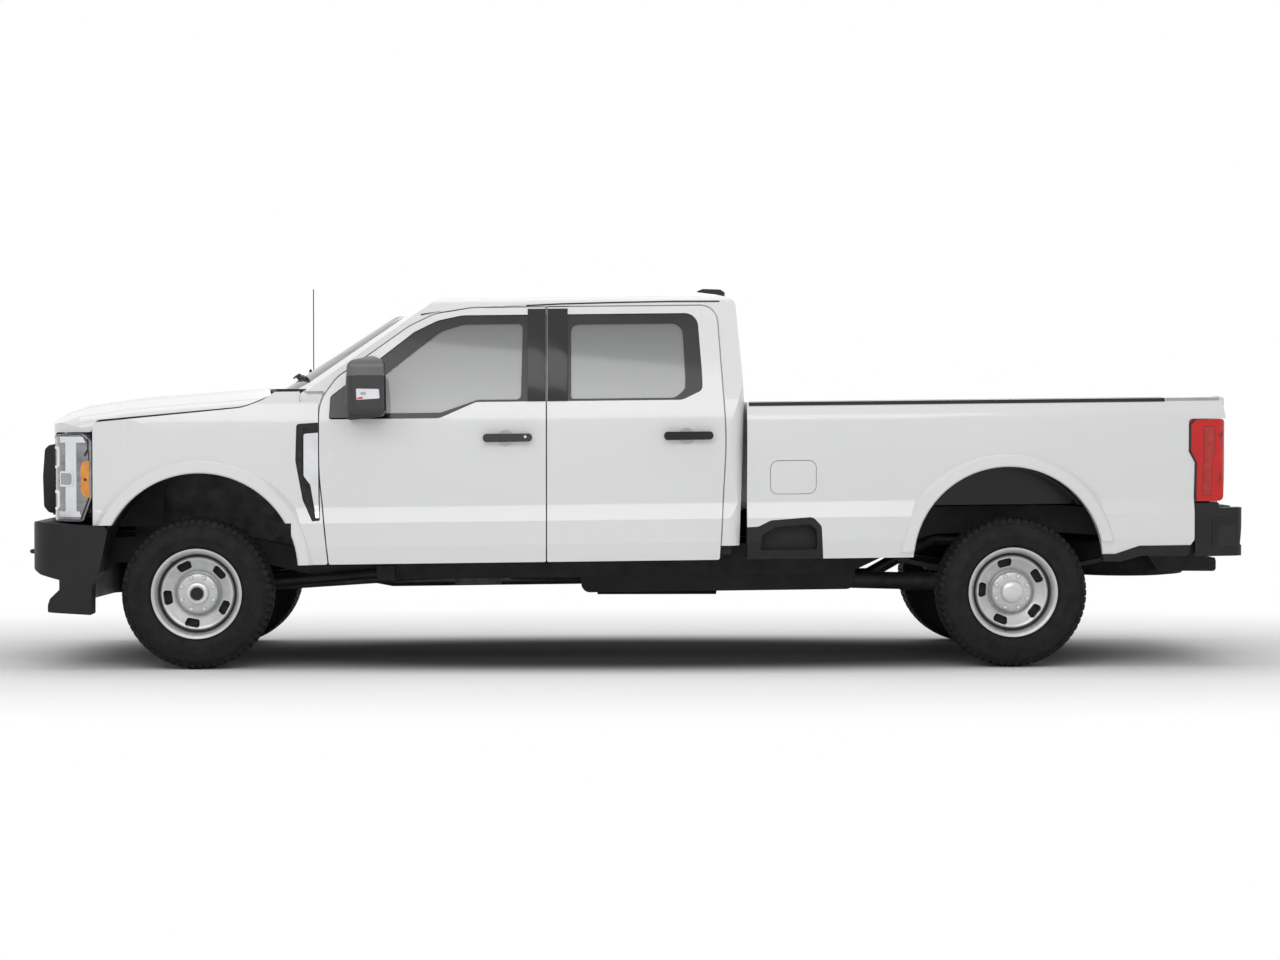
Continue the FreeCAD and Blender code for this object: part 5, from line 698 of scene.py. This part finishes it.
def wheelMesh():
    mesh = bmesh.new()
    points = wheel["barrel"] + wheel["disc"] + wheel["hub"] + wheel["face"]
    loop = [mesh.verts.new((r, w, 0)) for r, w in points]
    edges = [mesh.edges.new((a, b)) for a, b in zip(loop, loop[1:] + loop[:1])]
    bmesh.ops.spin(mesh, geom=loop + edges, cent=(0, 0, 0), axis=(0, 1, 0), angle=2 * math.pi, steps=120,
                   use_merge=True)
    bmesh.ops.remove_doubles(mesh, verts=mesh.verts, dist=1e-5)
    bmesh.ops.recalc_face_normals(mesh, faces=mesh.faces)
    return mesh


def holeCutters(turn):
    # Rounded trapezoids, wider outwards, right through the disc.
    outlines = []
    for index in range(wheel["holes"]):
        angle = math.radians(turn + 360 / wheel["holes"] * index)
        outward = Vector((math.cos(angle), 0, math.sin(angle)))
        along = Vector((-math.sin(angle), 0, math.cos(angle)))
        outlines.append([outward * (wheel["holeRing"] + v) + along * u + Vector((0, wheel["holeStart"], 0))
                         for u, v in roundCorners(wheel["hole"])])
    return plate(outlines, (0, wheel["holeLong"], 0))


def carve(piece, cutterMesh):
    # Cuts a mesh out of a piece and keeps the result.
    data = bpy.data.meshes.new("cutter")
    cutterMesh.to_mesh(data)
    cutterMesh.free()
    cutter = bpy.data.objects.new("cutter", data)
    bpy.context.scene.collection.objects.link(cutter)
    modifier = piece.modifiers.new("holes", "BOOLEAN")
    modifier.operation = "DIFFERENCE"
    modifier.solver = "EXACT"
    modifier.object = cutter
    bpy.context.view_layer.update()
    graph = bpy.context.evaluated_depsgraph_get()
    result = bpy.data.meshes.new_from_object(piece.evaluated_get(graph))
    piece.modifiers.clear()
    old = piece.data
    piece.data = result
    bpy.data.meshes.remove(old)
    bpy.data.objects.remove(cutter)
    bpy.data.meshes.remove(data)


def atWheel(mesh, sign, centre):
    if sign < 0:
        bmesh.ops.rotate(mesh, cent=(0, 0, 0), matrix=Matrix.Rotation(math.pi, 3, "Z"), verts=mesh.verts)
    bmesh.ops.translate(mesh, vec=centre, verts=mesh.verts)
    return mesh


for end, side, sign, centre in wheelCentres():
    body = f"wheel_{end}_{side}"
    steel = f"shadedWheelSteel_{end}_{side}"
    made[steel] = shadedWheelSteel(steel, centre, sign)
    disc = finishPiece(f"wheelDisc_{end}_{side}", wheelMesh(), steel, body, smooth=False)
    carve(disc, holeCutters(wheel[end]["turn"]))
    mesh = bmesh.new()
    mesh.from_mesh(disc.data)
    atWheel(mesh, sign, centre)
    bmesh.ops.recalc_face_normals(mesh, faces=mesh.faces)
    mesh.to_mesh(disc.data)
    mesh.free()
    shadeSmooth(disc.data, 38)
    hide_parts(f"rim_{end}_{side}")

    covers = []
    for index in range(wheel["nuts"]):
        angle = math.radians(360 / wheel["nuts"] * (index + 0.5))
        nut = turnedKnob(wheel["nut"], 18)
        bmesh.ops.translate(nut, vec=(wheel["nutRing"] * math.cos(angle), 0, wheel["nutRing"] * math.sin(angle)),
                            verts=nut.verts)
        covers.append(nut)
    covers.append(turnedKnob(wheel[end]["cover"], 64))
    finishPiece(f"hubCover_{end}_{side}", atWheel(joined(covers), sign, centre), "hubSilver", body)
    if end == "front":
        grip = bmesh.new()
        bmesh.ops.create_cube(grip, size=1)
        bmesh.ops.scale(grip, vec=wheel["grip"], verts=grip.verts)
        bmesh.ops.translate(grip, vec=(0, wheel["gripFace"], 0), verts=grip.verts)
        bevelAll(grip, 0.0012)
        mesh = atWheel(joined([turnedKnob(wheel["dial"]), grip]), sign, centre)
        finishPiece(f"hubDial_{end}_{side}", mesh, "blackPlastic", body)
    finishPiece(f"brakeBacking_{end}_{side}", atWheel(turnedKnob(wheel["backing"], 60), sign, centre),
                "linerPlastic", body, smooth=False)
    angle = math.radians(wheel[end]["valve"])
    valve = turnedKnob(wheel["valve"], 14)
    bmesh.ops.translate(valve, vec=(wheel["valveRing"] * math.cos(angle), wheel["valveFoot"],
                                    wheel["valveRing"] * math.sin(angle)), verts=valve.verts)
    finishPiece(f"valveStem_{end}_{side}", atWheel(valve, sign, centre), "blackPlastic", body)
print("wheels made")


# Headlamps: outlines are (back, height), those of the modules (side, side, height, height)

headlamp = {
    "guideTop": [(-0.772, 1.236), (-0.772, 1.268), (-0.612, 1.268), (-0.598, 1.236)],
    "guideColumn": [(-0.712, 0.862), (-0.712, 1.236), (-0.648, 1.236), (-0.648, 0.862)],
    "guideFoot": [(-0.772, 0.832), (-0.772, 0.862), (-0.630, 0.862), (-0.622, 0.832)],
    "amber": [(-0.612, 1.134), (-0.578, 1.138), (-0.576, 0.940), (-0.604, 0.940), (-0.624, 0.978), (-0.624, 1.100)],
    "amberDot": [(-0.606, 1.028), (-0.606, 1.042), (-0.592, 1.042), (-0.592, 1.028)],
    "edge": [(-0.590, 1.262), (-0.580, 1.250), (-0.580, 1.190), (-0.600, 1.160), (-0.606, 1.170), (-0.588, 1.200)],
    "lowEdge": [(-0.584, 0.936), (-0.576, 0.930), (-0.618, 0.816), (-0.626, 0.822)],
    "rim": [(-0.792, 0.812), (-0.786, 1.240), (-0.768, 1.276), (-0.622, 1.284), (-0.586, 1.246), (-0.578, 1.180),
            (-0.576, 0.935), (-0.622, 0.812)],
    "rimIn": [(-0.788, 0.818), (-0.782, 1.238), (-0.765, 1.271), (-0.624, 1.279), (-0.591, 1.243), (-0.583, 1.178),
              (-0.581, 0.937), (-0.625, 0.818)],
    "chrome": [(-0.745, 1.080, 0.004), (-0.676, 1.080, 0.012), (-0.665, 1.064, 0.008), (-0.665, 1.014, 0.008),
               (-0.676, 0.996, 0.012), (-0.745, 0.996, 0.004)],
    "chromeIn": [(-0.739, 1.070, 0.002), (-0.682, 1.070, 0.008), (-0.675, 1.060, 0.006), (-0.675, 1.018, 0.006),
                 (-0.682, 1.006, 0.008), (-0.739, 1.006, 0.002)],
    "modules": [(0.700, 0.905, 1.095, 1.215), (0.700, 0.905, 0.868, 0.975)],
    "ringWide": 0.014,
    "ringRound": 0.020,
}


def moduleOutline(module, sign, inset):
    near, far, low, high = module
    near, low, far, high = near + inset, low + inset, far - inset, high - inset
    radius = headlamp["ringWide"] if inset else headlamp["ringRound"]
    return [Vector((0, sign * y, z)) for y, z in roundCorners(
        [(near, low, radius), (far, low, radius), (far, high, radius), (near, high, radius)], 4)]


lampSkin = skinOf("headlamps")
for side, sign in sides:
    outwards = Vector((0, sign, 0))
    guide = [(lift, onSide(headlamp[key])) for key, lift in
             (("guideTop", 0.003), ("guideColumn", 0.0025), ("guideFoot", 0.003))]
    layPiece(f"lightGuide_{side}", lampSkin, outwards, 0.006, guide, "lampWhite", "lamp_clear")
    layPiece(f"amberMarker_{side}", lampSkin, outwards, 0.008, [(0.004, onSide(headlamp["amber"]))], "lampAmber",
             "lamp_clear")
    dark = [(lift, onSide(headlamp[key])) for key, lift in
            (("edge", 0.0035), ("lowEdge", 0.0035), ("amberDot", 0.0048))]
    dark += [(0.003, strip) for strip in frameStrips(onSide(headlamp["rim"]), onSide(headlamp["rimIn"]))]
    layPiece(f"lampTrim_{side}", lampSkin, outwards, 0.008, dark, "glossBlack")
    outer, inner = roundOnSide(headlamp["chrome"]), roundOnSide(headlamp["chromeIn"])
    layPiece(f"barEndRing_{side}", lampSkin, outwards, 0.010, [(0.007, strip) for strip in frameStrips(outer, inner)],
             "chromeTrim", "lamp_clear")
    layPiece(f"barEndLens_{side}", lampSkin, outwards, 0.008, [(0.0055, inner)], "satinTrim", "lamp_clear")
    rings, lenses = [], []
    for module in headlamp["modules"]:
        outer = moduleOutline(module, sign, 0)
        inner = moduleOutline(module, sign, headlamp["ringWide"])
        rings += [(0.004, strip) for strip in frameStrips(outer, inner)]
        lenses.append((0.002, inner))
    ahead = Vector((1, 0, 0))
    layPiece(f"lampRings_{side}", lampSkin, ahead, 0.008, rings, "chromeTrim", "lamp_clear")
    layPiece(f"lampLenses_{side}", lampSkin, ahead, 0.005, lenses, "lampDark", "lamp_clear")

# The grille's ends stand forward of the lamps
grilleEnd = {"outer": 0.702, "inner": 0.655,
             "outline": [(-0.790, 0.840, 0.006), (-0.790, 1.226, 0.006), (-0.846, 1.220, 0.030), (-0.868, 1.196, 0.030),
                         (-0.879, 1.047, 0.200), (-0.874, 0.880, 0.030), (-0.846, 0.846, 0.030)]}
for side, sign in sides:
    outline = [atSide(b, z) + Vector((0, sign * grilleEnd["outer"], 0)) for b, z in roundCorners(grilleEnd["outline"])]
    mesh = plate([outline], (0, -sign * (grilleEnd["outer"] - grilleEnd["inner"]), 0))
    bevelAll(mesh, 0.006)
    finishPiece(f"grilleEnd_{side}", mesh, "blackPlastic")
print("headlamps made")


# Fender vents

vent = {
    "edge": [(1.340, 0.575), (1.325, 0.553), (1.137, 0.545), (1.028, 0.555), (0.920, 0.587), (0.815, 0.636)],
    "chrome": [(0.586, 1.284, 0.012), (0.664, 1.290, 0), (0.664, 0.940, 0), (0.668, 0.826, 0), (0.650, 0.826, 0),
               (0.621, 1.006, 0.02), (0.585, 1.054, 0.02)],
    "slots": 7,
    "pitch": 0.062,
    "slotHigh": 0.036,
    "slotIn": 0.007,
    "slotLong": 0.024,
    "slotEnd": 0.580,
    "slotSlant": 0.003,
    "foot": 0.9066,
    "column": 0.655,
}


def ventEdge(level):
    for (z0, b0), (z1, b1) in zip(vent["edge"], vent["edge"][1:]):
        if z1 <= level <= z0:
            return b0 + (b1 - b0) * (z0 - level) / (z0 - z1)
    return vent["edge"][-1][1]


ventSkin = skinOf("mouldings")
for side, sign in sides:
    outwards = Vector((0, sign, 0))
    column = truck["frontAxle"] - vent["column"]
    layPiece(f"ventStrip_{side}", ventSkin, outwards, 0.006, [(0.004, roundOnSide(vent["chrome"]))], "chromeTrim",
             column=column)
    slots = []
    for index in range(vent["slots"]):
        low = vent["foot"] + vent["pitch"] * index
        high = low + vent["slotHigh"]
        nearHigh, nearLow = ventEdge(high) + vent["slotIn"], ventEdge(low) + vent["slotIn"]
        farHigh, farLow = (max(near + vent["slotLong"], vent["slotEnd"]) for near in (nearHigh, nearLow))
        slots.append((0.0012, onSide([(nearHigh, high - vent["slotSlant"]), (farHigh, high),
                                      (farLow, low + vent["slotSlant"]), (nearLow, low)])))
    layPiece(f"ventSlots_{side}", ventSkin, outwards, 0.003, slots, "linerPlastic", column=column)
print("fender vents made")


# Bed rails and rear lamps

rail = {"front": 3.012, "rear": 5.300, "low": 1.402, "high": 1.422, "cornerGap": 0.004, "cornerRear": 5.600,
        "inner": 0.885, "outer": 0.965}


def railBand(start, stop, low, high):
    return onSide([(back, level + truck["rake"] * back) for back, level in
                   ((start, low), (stop, low), (stop, high), (start, high))])


railSkin = skinOf("bedsides")
for side, sign in sides:
    outwards = Vector((0, sign, 0))
    outline = railBand(rail["front"], rail["rear"], rail["low"], rail["high"])
    top = [Vector((truck["frontAxle"] - rail[end], sign * rail[edge], 0)) for end, edge in
           (("front", "inner"), ("rear", "inner"), ("rear", "outer"), ("front", "outer"))]
    bands = [layOn(railSkin, outline, outwards, 0.0025, 0.006, 0.25),
             layOn(railSkin, top, Vector((0, 0, 1)), 0.0025, 0.006, 0.25)]
    finishPiece(f"railCap_{side}", joined(bands), "blackPlastic", smooth=False)
    gap = rail["cornerGap"]
    corner = railBand(rail["rear"] + gap, rail["cornerRear"], rail["low"] + gap, rail["high"])
    layPiece(f"railCorner_{side}", railSkin, outwards, 0.005, [(0.002, corner)], "satinTrim", step=0.1)

tail = {
    "near": 5.512, "far": 5.556, "low": 0.948, "high": 1.322, "ribs": 62, "ribShare": 0.55,
    "jog": 0.012, "jogHeight": 1.150, "edgeWide": 0.004,
    "front": [(5.427, 1.336), (5.450, 1.362), (5.470, 1.362), (5.440, 1.332), (5.440, 1.190), (5.474, 1.124),
              (5.475, 0.920), (5.463, 0.920), (5.462, 1.124), (5.427, 1.186)],
    "marks": [[(5.590, 1.298), (5.621, 1.298), (5.617, 1.272), (5.609, 1.262), (5.609, 1.246), (5.601, 1.246),
               (5.601, 1.262), (5.594, 1.272)],
              [(5.590, 1.012), (5.624, 1.012), (5.618, 1.036), (5.609, 1.046), (5.609, 1.066), (5.601, 1.066),
               (5.601, 1.046), (5.596, 1.036)]],
}
tailSkin = skinOf("tail_lamps")
for side, sign in sides:
    outwards = Vector((0, sign, 0))
    near, far, low, high, edge = (tail[key] for key in ("near", "far", "low", "high", "edgeWide"))
    pitch = (high - low) / tail["ribs"]
    ribs = []
    for index in range(tail["ribs"]):
        level = low + pitch * index
        top = level + pitch * tail["ribShare"]
        end = far + tail["jog"] * (level > tail["jogHeight"])
        ribs.append((0.0016, onSide([(near, level), (end, level), (end, top), (near, top)])))
    jogged = far + edge + tail["jog"]
    back = onSide([(near - edge, low - edge), (far + edge, low - edge), (far + edge, tail["jogHeight"]),
                   (jogged, tail["jogHeight"] + tail["jog"]), (jogged, high + edge), (near - edge, high + edge)])
    layPiece(f"lampColumn_{side}", tailSkin, outwards, 0.003, [(0.0008, back)], "redDark", "lamp_red", step=0.06)
    layPiece(f"lampRibs_{side}", tailSkin, outwards, 0.003, ribs, "redRib", "lamp_red", step=0.06)
    layPiece(f"lampEdge_{side}", tailSkin, outwards, 0.006, [(0.0025, onSide(tail["front"]))], "glossBlack")
    layPiece(f"lampMarks_{side}", tailSkin, outwards, 0.003, [(0.0014, onSide(mark)) for mark in tail["marks"]],
             "redDark", "lamp_red")
print("rails and rear lamps made")


# Mirrors and door handles

mirror = {
    "signal": [(0.888, 1.528, 0.006), (1.010, 1.526, 0.006), (1.014, 1.476, 0.006), (0.891, 1.468, 0.006)],
    "bulb": [(0.906, 1.510, 0.008), (0.946, 1.510, 0.008), (0.940, 1.494, 0.006), (0.914, 1.494, 0.006)],
    "amber": [(0.894, 1.480, 0.003), (0.924, 1.484, 0.003), (0.924, 1.474, 0.003), (0.896, 1.471, 0.003)],
    "seam": [(0.858, 1.596), (1.030, 1.596), (1.030, 1.599), (0.858, 1.599)],
    "key": [(0, -0.004), (0.0075, -0.004), (0.0075, 0.0015), (0.006, 0.0025), (0, 0.0025)],
    "keyPlace": (1.790, 1.268),
}
for side, sign in sides:
    outwards = Vector((0, sign, 0))
    skin = skinOf(f"trim_front_{side}")
    body = f"front_{side}_door"
    for name, key, lift, finish in (("mirrorSignal", "signal", 0.0008, "lampWhite"),
                                    ("mirrorBulb", "bulb", 0.0013, "satinTrim"),
                                    ("mirrorAmber", "amber", 0.0013, "redRib")):
        layPiece(f"{name}_{side}", skin, outwards, 0.004, [(lift, roundOnSide(mirror[key]))], finish, "lamp_clear",
                 body)
    layPiece(f"mirrorSeam_{side}", skin, outwards, 0.003, [(0.0006, onSide(mirror["seam"]))], "linerPlastic",
             body=body)
    found = skin.ray_cast(atSide(*mirror["keyPlace"]) + outwards * 3, -outwards)[0]
    finishPiece(f"keyCylinder_{side}", atWheel(turnedKnob(mirror["key"], 20), sign, found), "chromeTrim", body)
print("mirrors and handles made")


# Dark panels inboard of the steered tyres

shield = {"side": 0.500, "thick": 0.003,
          "outline": [(-0.560, 0.760), (-0.560, 1.020), (-0.300, 1.060), (-0.240, 1.000), (-0.240, 0.760)]}
for side, sign in sides:
    outline = [point + Vector((0, sign * shield["side"], 0)) for point in onSide(shield["outline"])]
    finishPiece(f"splashShield_{side}", plate([outline], (0, -sign * shield["thick"], 0)), "linerPlastic", smooth=False)

# The groove along the roof
ditch = {"wide": 0.008,
         "line": [(1.215, 1.942), (1.330, 1.958), (1.500, 1.975), (1.700, 1.988), (1.980, 2.002), (2.300, 2.011),
                  (2.600, 2.017), (2.860, 2.018)]}
cabSkin = skinOf("cab")
for side, sign in sides:
    outline = onSide(ditch["line"] + [(b, z - ditch["wide"]) for b, z in reversed(ditch["line"])])
    layPiece(f"roofDitch_{side}", cabSkin, Vector((0, sign, 0)), 0.004, [(0.0015, outline)], "glossBlack", step=0.12)

# Wipers lie on the screen. "blade" and "arm" say how far each reaches across, where it starts behind the
# front axle and how far back it runs.
wiper = {"starts": {"left": 0.10, "right": -0.62}, "lift": 0.012,
         "blade": (0.60, 0.47, 0.10), "bladeSize": (0.012, 0.020),
         "arm": (0.42, 0.43, 0.09), "armShift": -0.12, "armLift": 0.026, "armSize": (0.014, 0.009)}
antenna = {"foot": [(0, -0.012), (0.016, -0.012), (0.014, 0.006), (0.006, 0.030), (0, 0.032)],
           "place": (0.472, -0.905, 1.545)}
screenSkin = skinOf("cab_glass")
screenAhead = Vector((0.62, 0, 0.78)).normalized()
screenUp = screenAhead.cross(Vector((0, 1, 0))).normalized()


def onScreen(side, back, lift):
    start = Vector((truck["frontAxle"] - back, side, 1.6)) + screenAhead * 2
    return screenSkin.ray_cast(start, -screenAhead)[0] + screenAhead * lift


def bar(points, wide, high):
    # A slim bar of rectangular section along a path on the screen.
    def section(index):
        along = points[min(index + 1, len(points) - 1)] - points[max(index - 1, 0)]
        up = along.normalized().cross(screenUp).normalized()
        return [points[index] + screenUp * (a * wide / 2) + up * (b * high / 2)
                for a, b in ((-1, -1), (1, -1), (1, 1), (-1, 1))]

    mesh = bmesh.new()
    face = mesh.faces.new([mesh.verts.new(point) for point in section(0)])
    for index in range(1, len(points)):
        old = list(face.verts)
        grown = bmesh.ops.extrude_face_region(mesh, geom=[face])["geom"]
        new = [item for item in grown if isinstance(item, bmesh.types.BMVert)]
        face = [item for item in grown if isinstance(item, bmesh.types.BMFace)][0]
        for vert, point in zip(old, section(index)):
            nearest = min(new, key=lambda item: (item.co - vert.co).length)
            nearest.co = point
            new.remove(nearest)
    bmesh.ops.recalc_face_normals(mesh, faces=mesh.faces)
    return mesh


for name, start in wiper["starts"].items():
    reach, back, run = wiper["blade"]
    blade = [onScreen(start + t * reach, back + t * run, wiper["lift"]) for t in (0, 0.25, 0.5, 0.75, 1.0)]
    reach, back, run = wiper["arm"]
    arm = [onScreen(start + t * reach + wiper["armShift"], back + t * run, wiper["armLift"])
           for t in (0.2, 0.5, 0.8, 1.0)]
    arm.append(blade[2] + screenAhead * wiper["lift"])
    parts = [bar(blade, *wiper["bladeSize"]), bar(arm, *wiper["armSize"])]
    finishPiece(f"wiper_{name}", joined(parts), "blackPlastic", smooth=False)
foot = turnedKnob(antenna["foot"], 24)
bmesh.ops.rotate(foot, cent=(0, 0, 0), matrix=Matrix.Rotation(math.radians(90), 3, "X"), verts=foot.verts)
back, side, height = antenna["place"]
bmesh.ops.translate(foot, vec=(truck["frontAxle"] - back, side, height), verts=foot.verts)
finishPiece("antennaFoot", foot, "blackPlastic")
print("shields, roof and screen made")


# Rear bumper panels

bumper = {
    "inset": [(5.596, 0.664, 0.004), (5.706, 0.664, 0.004), (5.710, 0.776, 0.004), (5.596, 0.782, 0.022)],
    "outer": [(5.566, 0.668), (5.566, 0.800), (5.584, 0.818), (5.706, 0.818)],
    "inner": [(5.578, 0.668), (5.578, 0.790), (5.590, 0.802), (5.706, 0.802)],
}
bumperSkin = skinOf("rear_bumper")
for side, sign in sides:
    outwards = Vector((0, sign, 0))
    layPiece(f"bumperInset_{side}", bumperSkin, outwards, 0.004, [(0.0015, roundOnSide(bumper["inset"]))],
             "linerPlastic")
    strips = frameStrips(onSide(bumper["outer"]), onSide(bumper["inner"]))[:3]
    layPiece(f"bumperStep_{side}", bumperSkin, outwards, 0.006, [(0.004, strip) for strip in strips], "blackPlastic")
print("bumper panels made")


# Seats: profiles are (back, height) from each row's front edge and the floor

seat = {
    "floor": 0.722,
    "cushion": [(-0.010, 0.075, 0.02), (-0.022, 0.215, 0.05), (0.010, 0.262, 0.05), (0.260, 0.262, 0.10),
                (0.440, 0.238, 0.04), (0.430, 0.075, 0.02)],
    "back": [(0.452, 0.215, 0.03), (0.440, 0.262, 0.04), (0.500, 0.520, 0.20), (0.604, 0.786, 0.04),
             (0.690, 0.790, 0.04), (0.640, 0.420, 0.20), (0.596, 0.215, 0.04)],
    "head": [(0.592, 0.800, 0.02), (0.602, 0.905, 0.035), (0.688, 0.912, 0.035), (0.696, 0.800, 0.02)],
    "plinth": [(0.020, 0.000), (0.020, 0.072), (0.420, 0.072), (0.500, 0.205), (0.560, 0.205), (0.500, 0.000)],
    "rows": {
        "front": {"back": 1.330, "half": 0.250, "places": (0.400, -0.400), "heads": (0.400, -0.400),
                  "seams": (-0.42, 0.42), "tight": 7},
        "rear": {"back": 2.140, "half": 0.690, "places": (0,), "heads": (0.420, -0.420),
                 "seams": (-0.66, -0.34, 0.0, 0.34, 0.66), "tight": 14},
    },
    "backShare": 0.97,
    "plinthShare": 0.86,
    "headHalf": 0.128,
    "headTight": 5,
    "stations": (0, 0.2, 0.38, 0.55, 0.7, 0.82, 0.90, 0.955, 0.985, 1),
    "seamSteps": (-0.03, -0.012, 0, 0.012, 0.03),
    "grooveDip": 0.030,
    "endScale": 0.30,
    "crown": 0.018,
}


def cushion(corners, back, side, half, seams, tight):
    # A closed crowned form: the side profile carried across, pulled in at both ends and at the sewn channels.
    outline = roundCorners(corners, 4)
    middle = Vector((sum(p[0] for p in outline), sum(p[1] for p in outline))) / len(outline)
    shares = {sign * share for share in seat["stations"] for sign in (1, -1)}
    shares |= {seam + step for seam in seams for step in seat["seamSteps"]}

    def section(share):
        scale = (1 - abs(share) ** tight) ** 0.35 * 0.985 if abs(share) < 1 else seat["endScale"]
        scale = max(scale, seat["endScale"]) * (1 + seat["crown"] * (math.cos(share * math.pi / 2) - 1))
        if any(abs(share - seam) < 0.006 for seam in seams):
            scale *= 1 - seat["grooveDip"]
        return [Vector((truck["frontAxle"] - back - (middle.x + (u - middle.x) * scale), side + half * share,
                        seat["floor"] + middle.y + (v - middle.y) * scale)) for u, v in outline]

    mesh = bmesh.new()
    rows = [[mesh.verts.new(point) for point in section(share)] for share in sorted(shares)]
    edges = [[mesh.edges.new((a, b)) for a, b in zip(row, row[1:] + row[:1])] for row in rows]
    for near, far in zip(edges, edges[1:]):
        bmesh.ops.bridge_loops(mesh, edges=near + far)
    mesh.faces.new(rows[0])
    mesh.faces.new(rows[-1])
    bmesh.ops.recalc_face_normals(mesh, faces=mesh.faces)
    return mesh


for row, place in seat["rows"].items():
    back, half = place["back"], place["half"]
    for index, side in enumerate(place["places"]):
        for name, corners, wide in (("seatCushion", seat["cushion"], half),
                                    ("seatBack", seat["back"], half * seat["backShare"])):
            mesh = cushion(corners, back, side, wide, place["seams"], place["tight"])
            piece = finishPiece(f"{name}_{row}_{index}", mesh, "seatCloth", "chassis")
            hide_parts("seats")
        wide = half * seat["plinthShare"]
        outline = [Vector((truck["frontAxle"] - back - u, side - wide, seat["floor"] + v)) for u, v in seat["plinth"]]
        mesh = plate([outline], (0, 2 * wide, 0))
        bevelAll(mesh, 0.008)
        piece = finishPiece(f"seatPlinth_{row}_{index}", mesh, "cabinPlastic", "chassis")
        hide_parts("seats")
    for index, side in enumerate(place["heads"]):
        mesh = cushion(seat["head"], back, side, seat["headHalf"], (), seat["headTight"])
        piece = finishPiece(f"headRest_{row}_{index}", mesh, "seatCloth", "chassis")
        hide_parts("seats")
print("seats made")


# Floor, light and camera

studio = {
    "floorSize": 400,
    "paper": (0.955, 0.970),
    "whiteFrom": 1.75,
    "whiteTo": 3.9,
    "whiteStretch": (0.45, 1, 1),
    # underStretch, underFrom and underShade shape a painted shadow on the floor under the truck
    "underStretch": (1 / 3.9, 1 / 1.45, 1),
    "underFrom": 0.45,
    "underShade": 0.14,
    "worldStrength": 0.50,
    "boxes": {  # place, what it points at, size and power
        "overheadBox": ((0, 0, 7.5), (0, 0, 0), (12, 5), 230),
        "nearBox": ((1.5, 9, 5.5), (0, 0, 0.8), (10, 3), 200),
        "farBox": ((-1.5, -9, 5.5), (0, 0, 0.8), (10, 3), 130),
    },
}


def cameraRays(tree):
    # 1 for what the camera, a mirror or clear glass sees, 0 for the light that falls on things.
    rays = tree.nodes.new("ShaderNodeLightPath").outputs
    seen = compute(tree, "MAXIMUM", rays["Is Camera Ray"], rays["Is Glossy Ray"])
    return compute(tree, "MAXIMUM", seen, rays["Is Transmission Ray"])


floorMesh = bmesh.new()
bmesh.ops.create_grid(floorMesh, x_segments=1, y_segments=1, size=studio["floorSize"] / 2)
floorData = bpy.data.meshes.new("studioFloor")
floorMesh.to_mesh(floorData)
floorMesh.free()
floor = bpy.data.objects.new("studioFloor", floorData)
bpy.context.scene.collection.objects.link(floor)
floorLook, tree, shader = newMaterial("floorPaper")
low, high = studio["paper"]
paper = ramp(tree, noise(tree, objectSpace(tree), 1.2), [(0.3, (low,) * 3), (0.7, (high,) * 3)])
# A painted shadow: the floor's colour is darkened under the truck
under = measure(tree, "LENGTH", objectSpace(tree, studio["underStretch"]))
paintedShadow = between(tree, under, studio["underFrom"], 1.0, studio["underShade"], 1.0, "SMOOTHSTEP")
wire(tree, shader, {"Base Color": blend(tree, 1, paper, paintedShadow, "MULTIPLY"), "Roughness": 0.9,
                    "Specular IOR Level": 0.0})
away = measure(tree, "LENGTH", objectSpace(tree, studio["whiteStretch"]))
fade = between(tree, away, studio["whiteFrom"], studio["whiteTo"], kind="SMOOTHSTEP")
white = newNode(tree, "Emission", {"Color": (1, 1, 1, 1), "Strength": 1}).outputs["Emission"]
mixed = newNode(tree, "MixShader", {"Fac": compute(tree, "MULTIPLY", fade, cameraRays(tree)),
                                    1: shader.outputs["BSDF"], 2: white})
wire(tree, tree.nodes["Material Output"], {"Surface": mixed.outputs["Shader"]})
floorData.materials.append(floorLook)

world = bpy.context.scene.world or bpy.data.worlds.new("studioWorld")
bpy.context.scene.world = world
world.use_nodes = True
tree = world.node_tree
strength = between(tree, cameraRays(tree), 0.0, 1.0, studio["worldStrength"], 1.0)
wire(tree, tree.nodes["Background"], {"Color": (1, 1, 1, 1), "Strength": strength})

for name, (place, aim, size, power) in studio["boxes"].items():
    light = bpy.data.lights.new(name, "AREA")
    light.shape = "RECTANGLE"
    light.size, light.size_y = size
    light.energy = power
    lamp = bpy.data.objects.new(name, light)
    lamp.location = place
    lamp.rotation_euler = (Vector(aim) - Vector(place)).to_track_quat("-Z", "Y").to_euler()
    bpy.context.scene.collection.objects.link(lamp)

photoCamera = {"place": (0.4086, 16.4148, 1.426), "yaw": 0.02879, "pitch": 0.02557, "focal": 2827.3, "width": 1280}
cameraData = bpy.data.cameras.new("photoCamera")
cameraData.sensor_width = 36
cameraData.lens = photoCamera["focal"] / photoCamera["width"] * cameraData.sensor_width
cameraData.clip_end = 1000
camera = bpy.data.objects.new("photoCamera", cameraData)
camera.location = photoCamera["place"]
level = math.cos(photoCamera["pitch"])
aim = Vector((-math.sin(photoCamera["yaw"]) * level, -math.cos(photoCamera["yaw"]) * level,
              -math.sin(photoCamera["pitch"])))
camera.rotation_euler = aim.to_track_quat("-Z", "Y").to_euler()
bpy.context.scene.collection.objects.link(camera)
bpy.context.scene.camera = camera
bpy.context.scene.view_settings.view_transform = "Standard"
print("studio and camera set")
